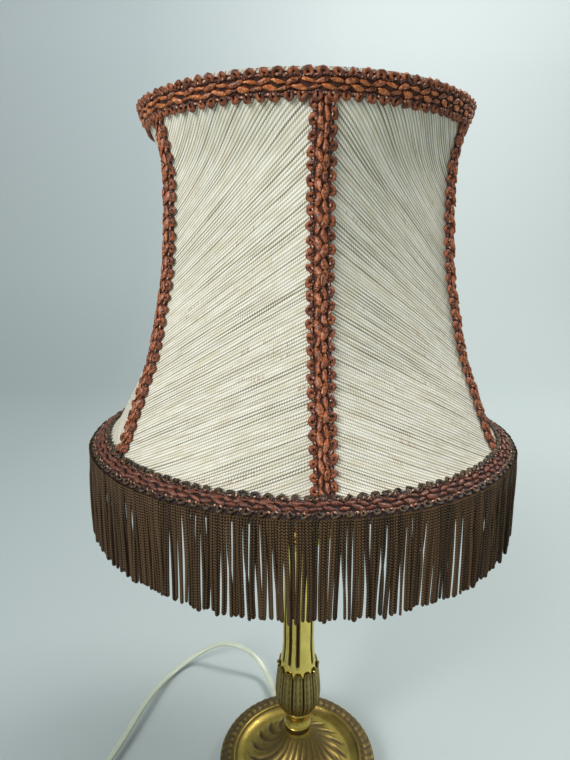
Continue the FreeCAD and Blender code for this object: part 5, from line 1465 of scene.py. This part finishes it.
# ---- Hidden hardware, switch, plug and bulb ----
SMOOTH_COPIES = (
    ("column_collar", "collar_ring", "stand", polished_brass, "brass", 0.0),
    ("drip_pan", "wax_pan", "stand", polished_brass, "brass", 0.0),
    ("candle_cup", "candle_socket", "stand", polished_brass, "brass", 0.3),
    ("cup_plate", "socket_cover", "stand", polished_brass, "brass", 0.3),
    ("spacer_tube", "spacer", "stand", polished_brass, "brass", 0.3),
    ("holder_cap", "holder_dome", "stand", holder_brass, "holder_brass", 0.3),
    ("holder_screw_shell", "screw_shell", "stand", holder_brass, "holder_brass", 0.0),
    ("holder_contact", "centre_contact", "stand", holder_brass, "holder_brass", 0.3),
    ("holder_skirt", "threaded_skirt", "stand", pale_plastic, "holder_plastic", 0.4),
    ("holder_core", "insulator", "stand", pale_plastic, "holder_plastic", 0.3),
    ("shade_ring", "knurled_ring", "ring", pale_plastic, "holder_plastic", 0.4),
    ("fitter_ring", "fitter", "shade", frame_paint, "frame_wire", 0.3),
    ("switch_base", "switch_lower_half", "stand", cream_plastic, "cream_plastic", 0.6),
    ("switch_cover", "switch_upper_half", "stand", cream_plastic, "cream_plastic", 0.5),
    ("switch_rocker", "rocker_button", "rocker", cream_plastic, "cream_plastic", 0.7),
    ("plug_body", "plug_moulding", "stand", cream_plastic, "cream_plastic", 0.4),
    ("plug_pins", "plug_pin_pair", "stand", steel, "plated_steel", 0.3),
    ("switch_screws", "cover_screws", "stand", steel, "plated_steel", 0.2),
    ("cord_bush", "strain_relief", "stand", clear_bush, "clear_bush", 0.2),
    ("bulb_glass", "bulb_globe", "bulb", opal_glass, "opal_glass", 0.0),
    ("bulb_cap", "screw_cap", "bulb", holder_brass, "holder_brass", 0.2),
    ("bulb_contact", "bulb_foot_contact", "bulb", steel, "holder_brass", 0.3),
    ("base_felt", "felt_disc", "stand", felt, "felt", 0.3),
    ("base_weight", "iron_ring", "stand", iron, "iron", 0.6),
    ("tie_rod", "threaded_tube", "stand", steel, "plated_steel", 0.2),
    ("tie_washer", "dome_washer", "stand", steel, "plated_steel", 0.2),
    ("tie_nut", "dome_nut", "stand", steel, "plated_steel", 0.4),
)


def make_hardware():
    for node, name, body, finish, slot, edge in SMOOTH_COPIES:
        piece = copied(node, name)
        if edge:
            soften(piece, edge)
        dress(piece, body, finish, node, angle=35.0)


make_hardware()


def finish_nodes():
    """The CAD nodes that keep their own shape get their finish."""
    wires = ["fitter_arms", "top_wire", "bottom_wire"] + [f"rib_wire_{k + 1}" for k in range(RIBS)]
    for node in ["inner_flex"] + wires:
        finish = frame_paint if node in wires else clear_plastic
        data = bpy.data.objects[node].data
        data.materials.clear()
        data.materials.append(finish)


finish_nodes()


# ---- Floor, light and background ----
PAPER_SHADED = ((0.0, srgb(163, 174, 173)), (0.3, srgb(178, 189, 188)), (1.3, srgb(202, 212, 212)))
PAPER_LIT = ((0.0, srgb(188, 198, 195)), (0.3, srgb(194, 203, 200)), (1.3, srgb(220, 228, 226)))
PAPER_METRES = 8.0
PAPER_BACK_METRES = 1.2
PAPER_BEND_METRES = 1.2
PAPER_RISE_METRES = 3.0
ROOM_LIGHT = 0.46


def make_floor():
    """A sheet of paper that runs along the table and curves up behind. Its ramps read metres, and its
    colour is painted light: darker to the left and low down, lighter to the right and higher up.
    """
    made = Finish("floor_paper", Roughness=0.9)
    across, _, up = made.parts(made.place())
    rise = made.times(up, 0.5)
    shaded = made.ramp(rise, [(at / 2, tone) for at, tone in PAPER_SHADED])
    bright = made.ramp(rise, [(at / 2, tone) for at, tone in PAPER_LIT])
    side = made.shade(made.plus(across, 0.5), [(0.0, 0.0), (0.9, 1.0)])
    made.set("Base Color", made.mix(side, shaded, bright))
    deselect()
    middle = PAPER_BACK_METRES - PAPER_METRES / 2
    bpy.ops.mesh.primitive_plane_add(size=PAPER_METRES, location=(0, middle, 0))
    floor = bpy.context.object
    floor.name = "floor"
    settle(floor)
    bpy.ops.object.mode_set(mode="EDIT")
    bpy.ops.mesh.select_all(action="DESELECT")
    bpy.ops.object.mode_set(mode="OBJECT")
    for edge in floor.data.edges:
        edge.select = all(floor.data.vertices[v].co.y > 1.0 for v in edge.vertices)
    bpy.ops.object.mode_set(mode="EDIT")
    bpy.ops.mesh.select_mode(type="EDGE")
    bpy.ops.mesh.spin(
        steps=32, angle=math.radians(-90.0), center=(0, PAPER_BACK_METRES, PAPER_BEND_METRES),
        axis=(1, 0, 0),
    )
    bpy.ops.mesh.extrude_edges_move(TRANSFORM_OT_translate={"value": (0, 0, PAPER_RISE_METRES)})
    bpy.ops.object.mode_set(mode="OBJECT")
    mend_faces(floor)
    bpy.ops.object.shade_smooth_by_angle(angle=math.radians(40.0))
    floor.data.materials.append(made.material)


def make_light():
    """A pale room, its own tone where the camera sees it, and three square lamps."""
    world = bpy.data.worlds.new("room")
    bpy.context.scene.world = world
    world.use_nodes = True
    tree = world.node_tree
    back = tree.nodes["Background"]
    back.inputs["Color"].default_value = (*srgb(226, 231, 236), 1.0)
    back.inputs["Strength"].default_value = ROOM_LIGHT
    seen = tree.nodes.new("ShaderNodeBackground")
    seen.inputs["Color"].default_value = (*srgb(204, 213, 214), 1.0)
    path = tree.nodes.new("ShaderNodeLightPath")
    either = tree.nodes.new("ShaderNodeMath")
    either.operation = "MAXIMUM"
    tree.links.new(path.outputs["Is Camera Ray"], either.inputs[0])
    tree.links.new(path.outputs["Is Transmission Ray"], either.inputs[1])
    blend = tree.nodes.new("ShaderNodeMixShader")
    tree.links.new(either.outputs["Value"], blend.inputs["Fac"])
    tree.links.new(back.outputs["Background"], blend.inputs[1])
    tree.links.new(seen.outputs["Background"], blend.inputs[2])
    tree.links.new(blend.outputs["Shader"], tree.nodes["World Output"].inputs["Surface"])
    for name, place, aim, size, power in (
        ("window", (-1.25, -1.3, 1.25), (0, 0, 0.25), 0.9, 30.0),
        ("ceiling", (1.1, 0.25, 1.75), (0, 0, 0.1), 0.7, 15.0),
        ("backdrop", (1.0, 0.7, 2.2), (0.7, 2.2, 0.6), 1.2, 26.0),
    ):
        data = bpy.data.lights.new(name, "AREA")
        data.size = size
        data.energy = power
        lamp = added(name, data)
        lamp.location = place
        lamp.rotation_euler = (Vector(aim) - Vector(place)).to_track_quat("-Z", "Y").to_euler()


make_floor()
make_light()
bpy.context.scene.view_settings.view_transform = "Standard"
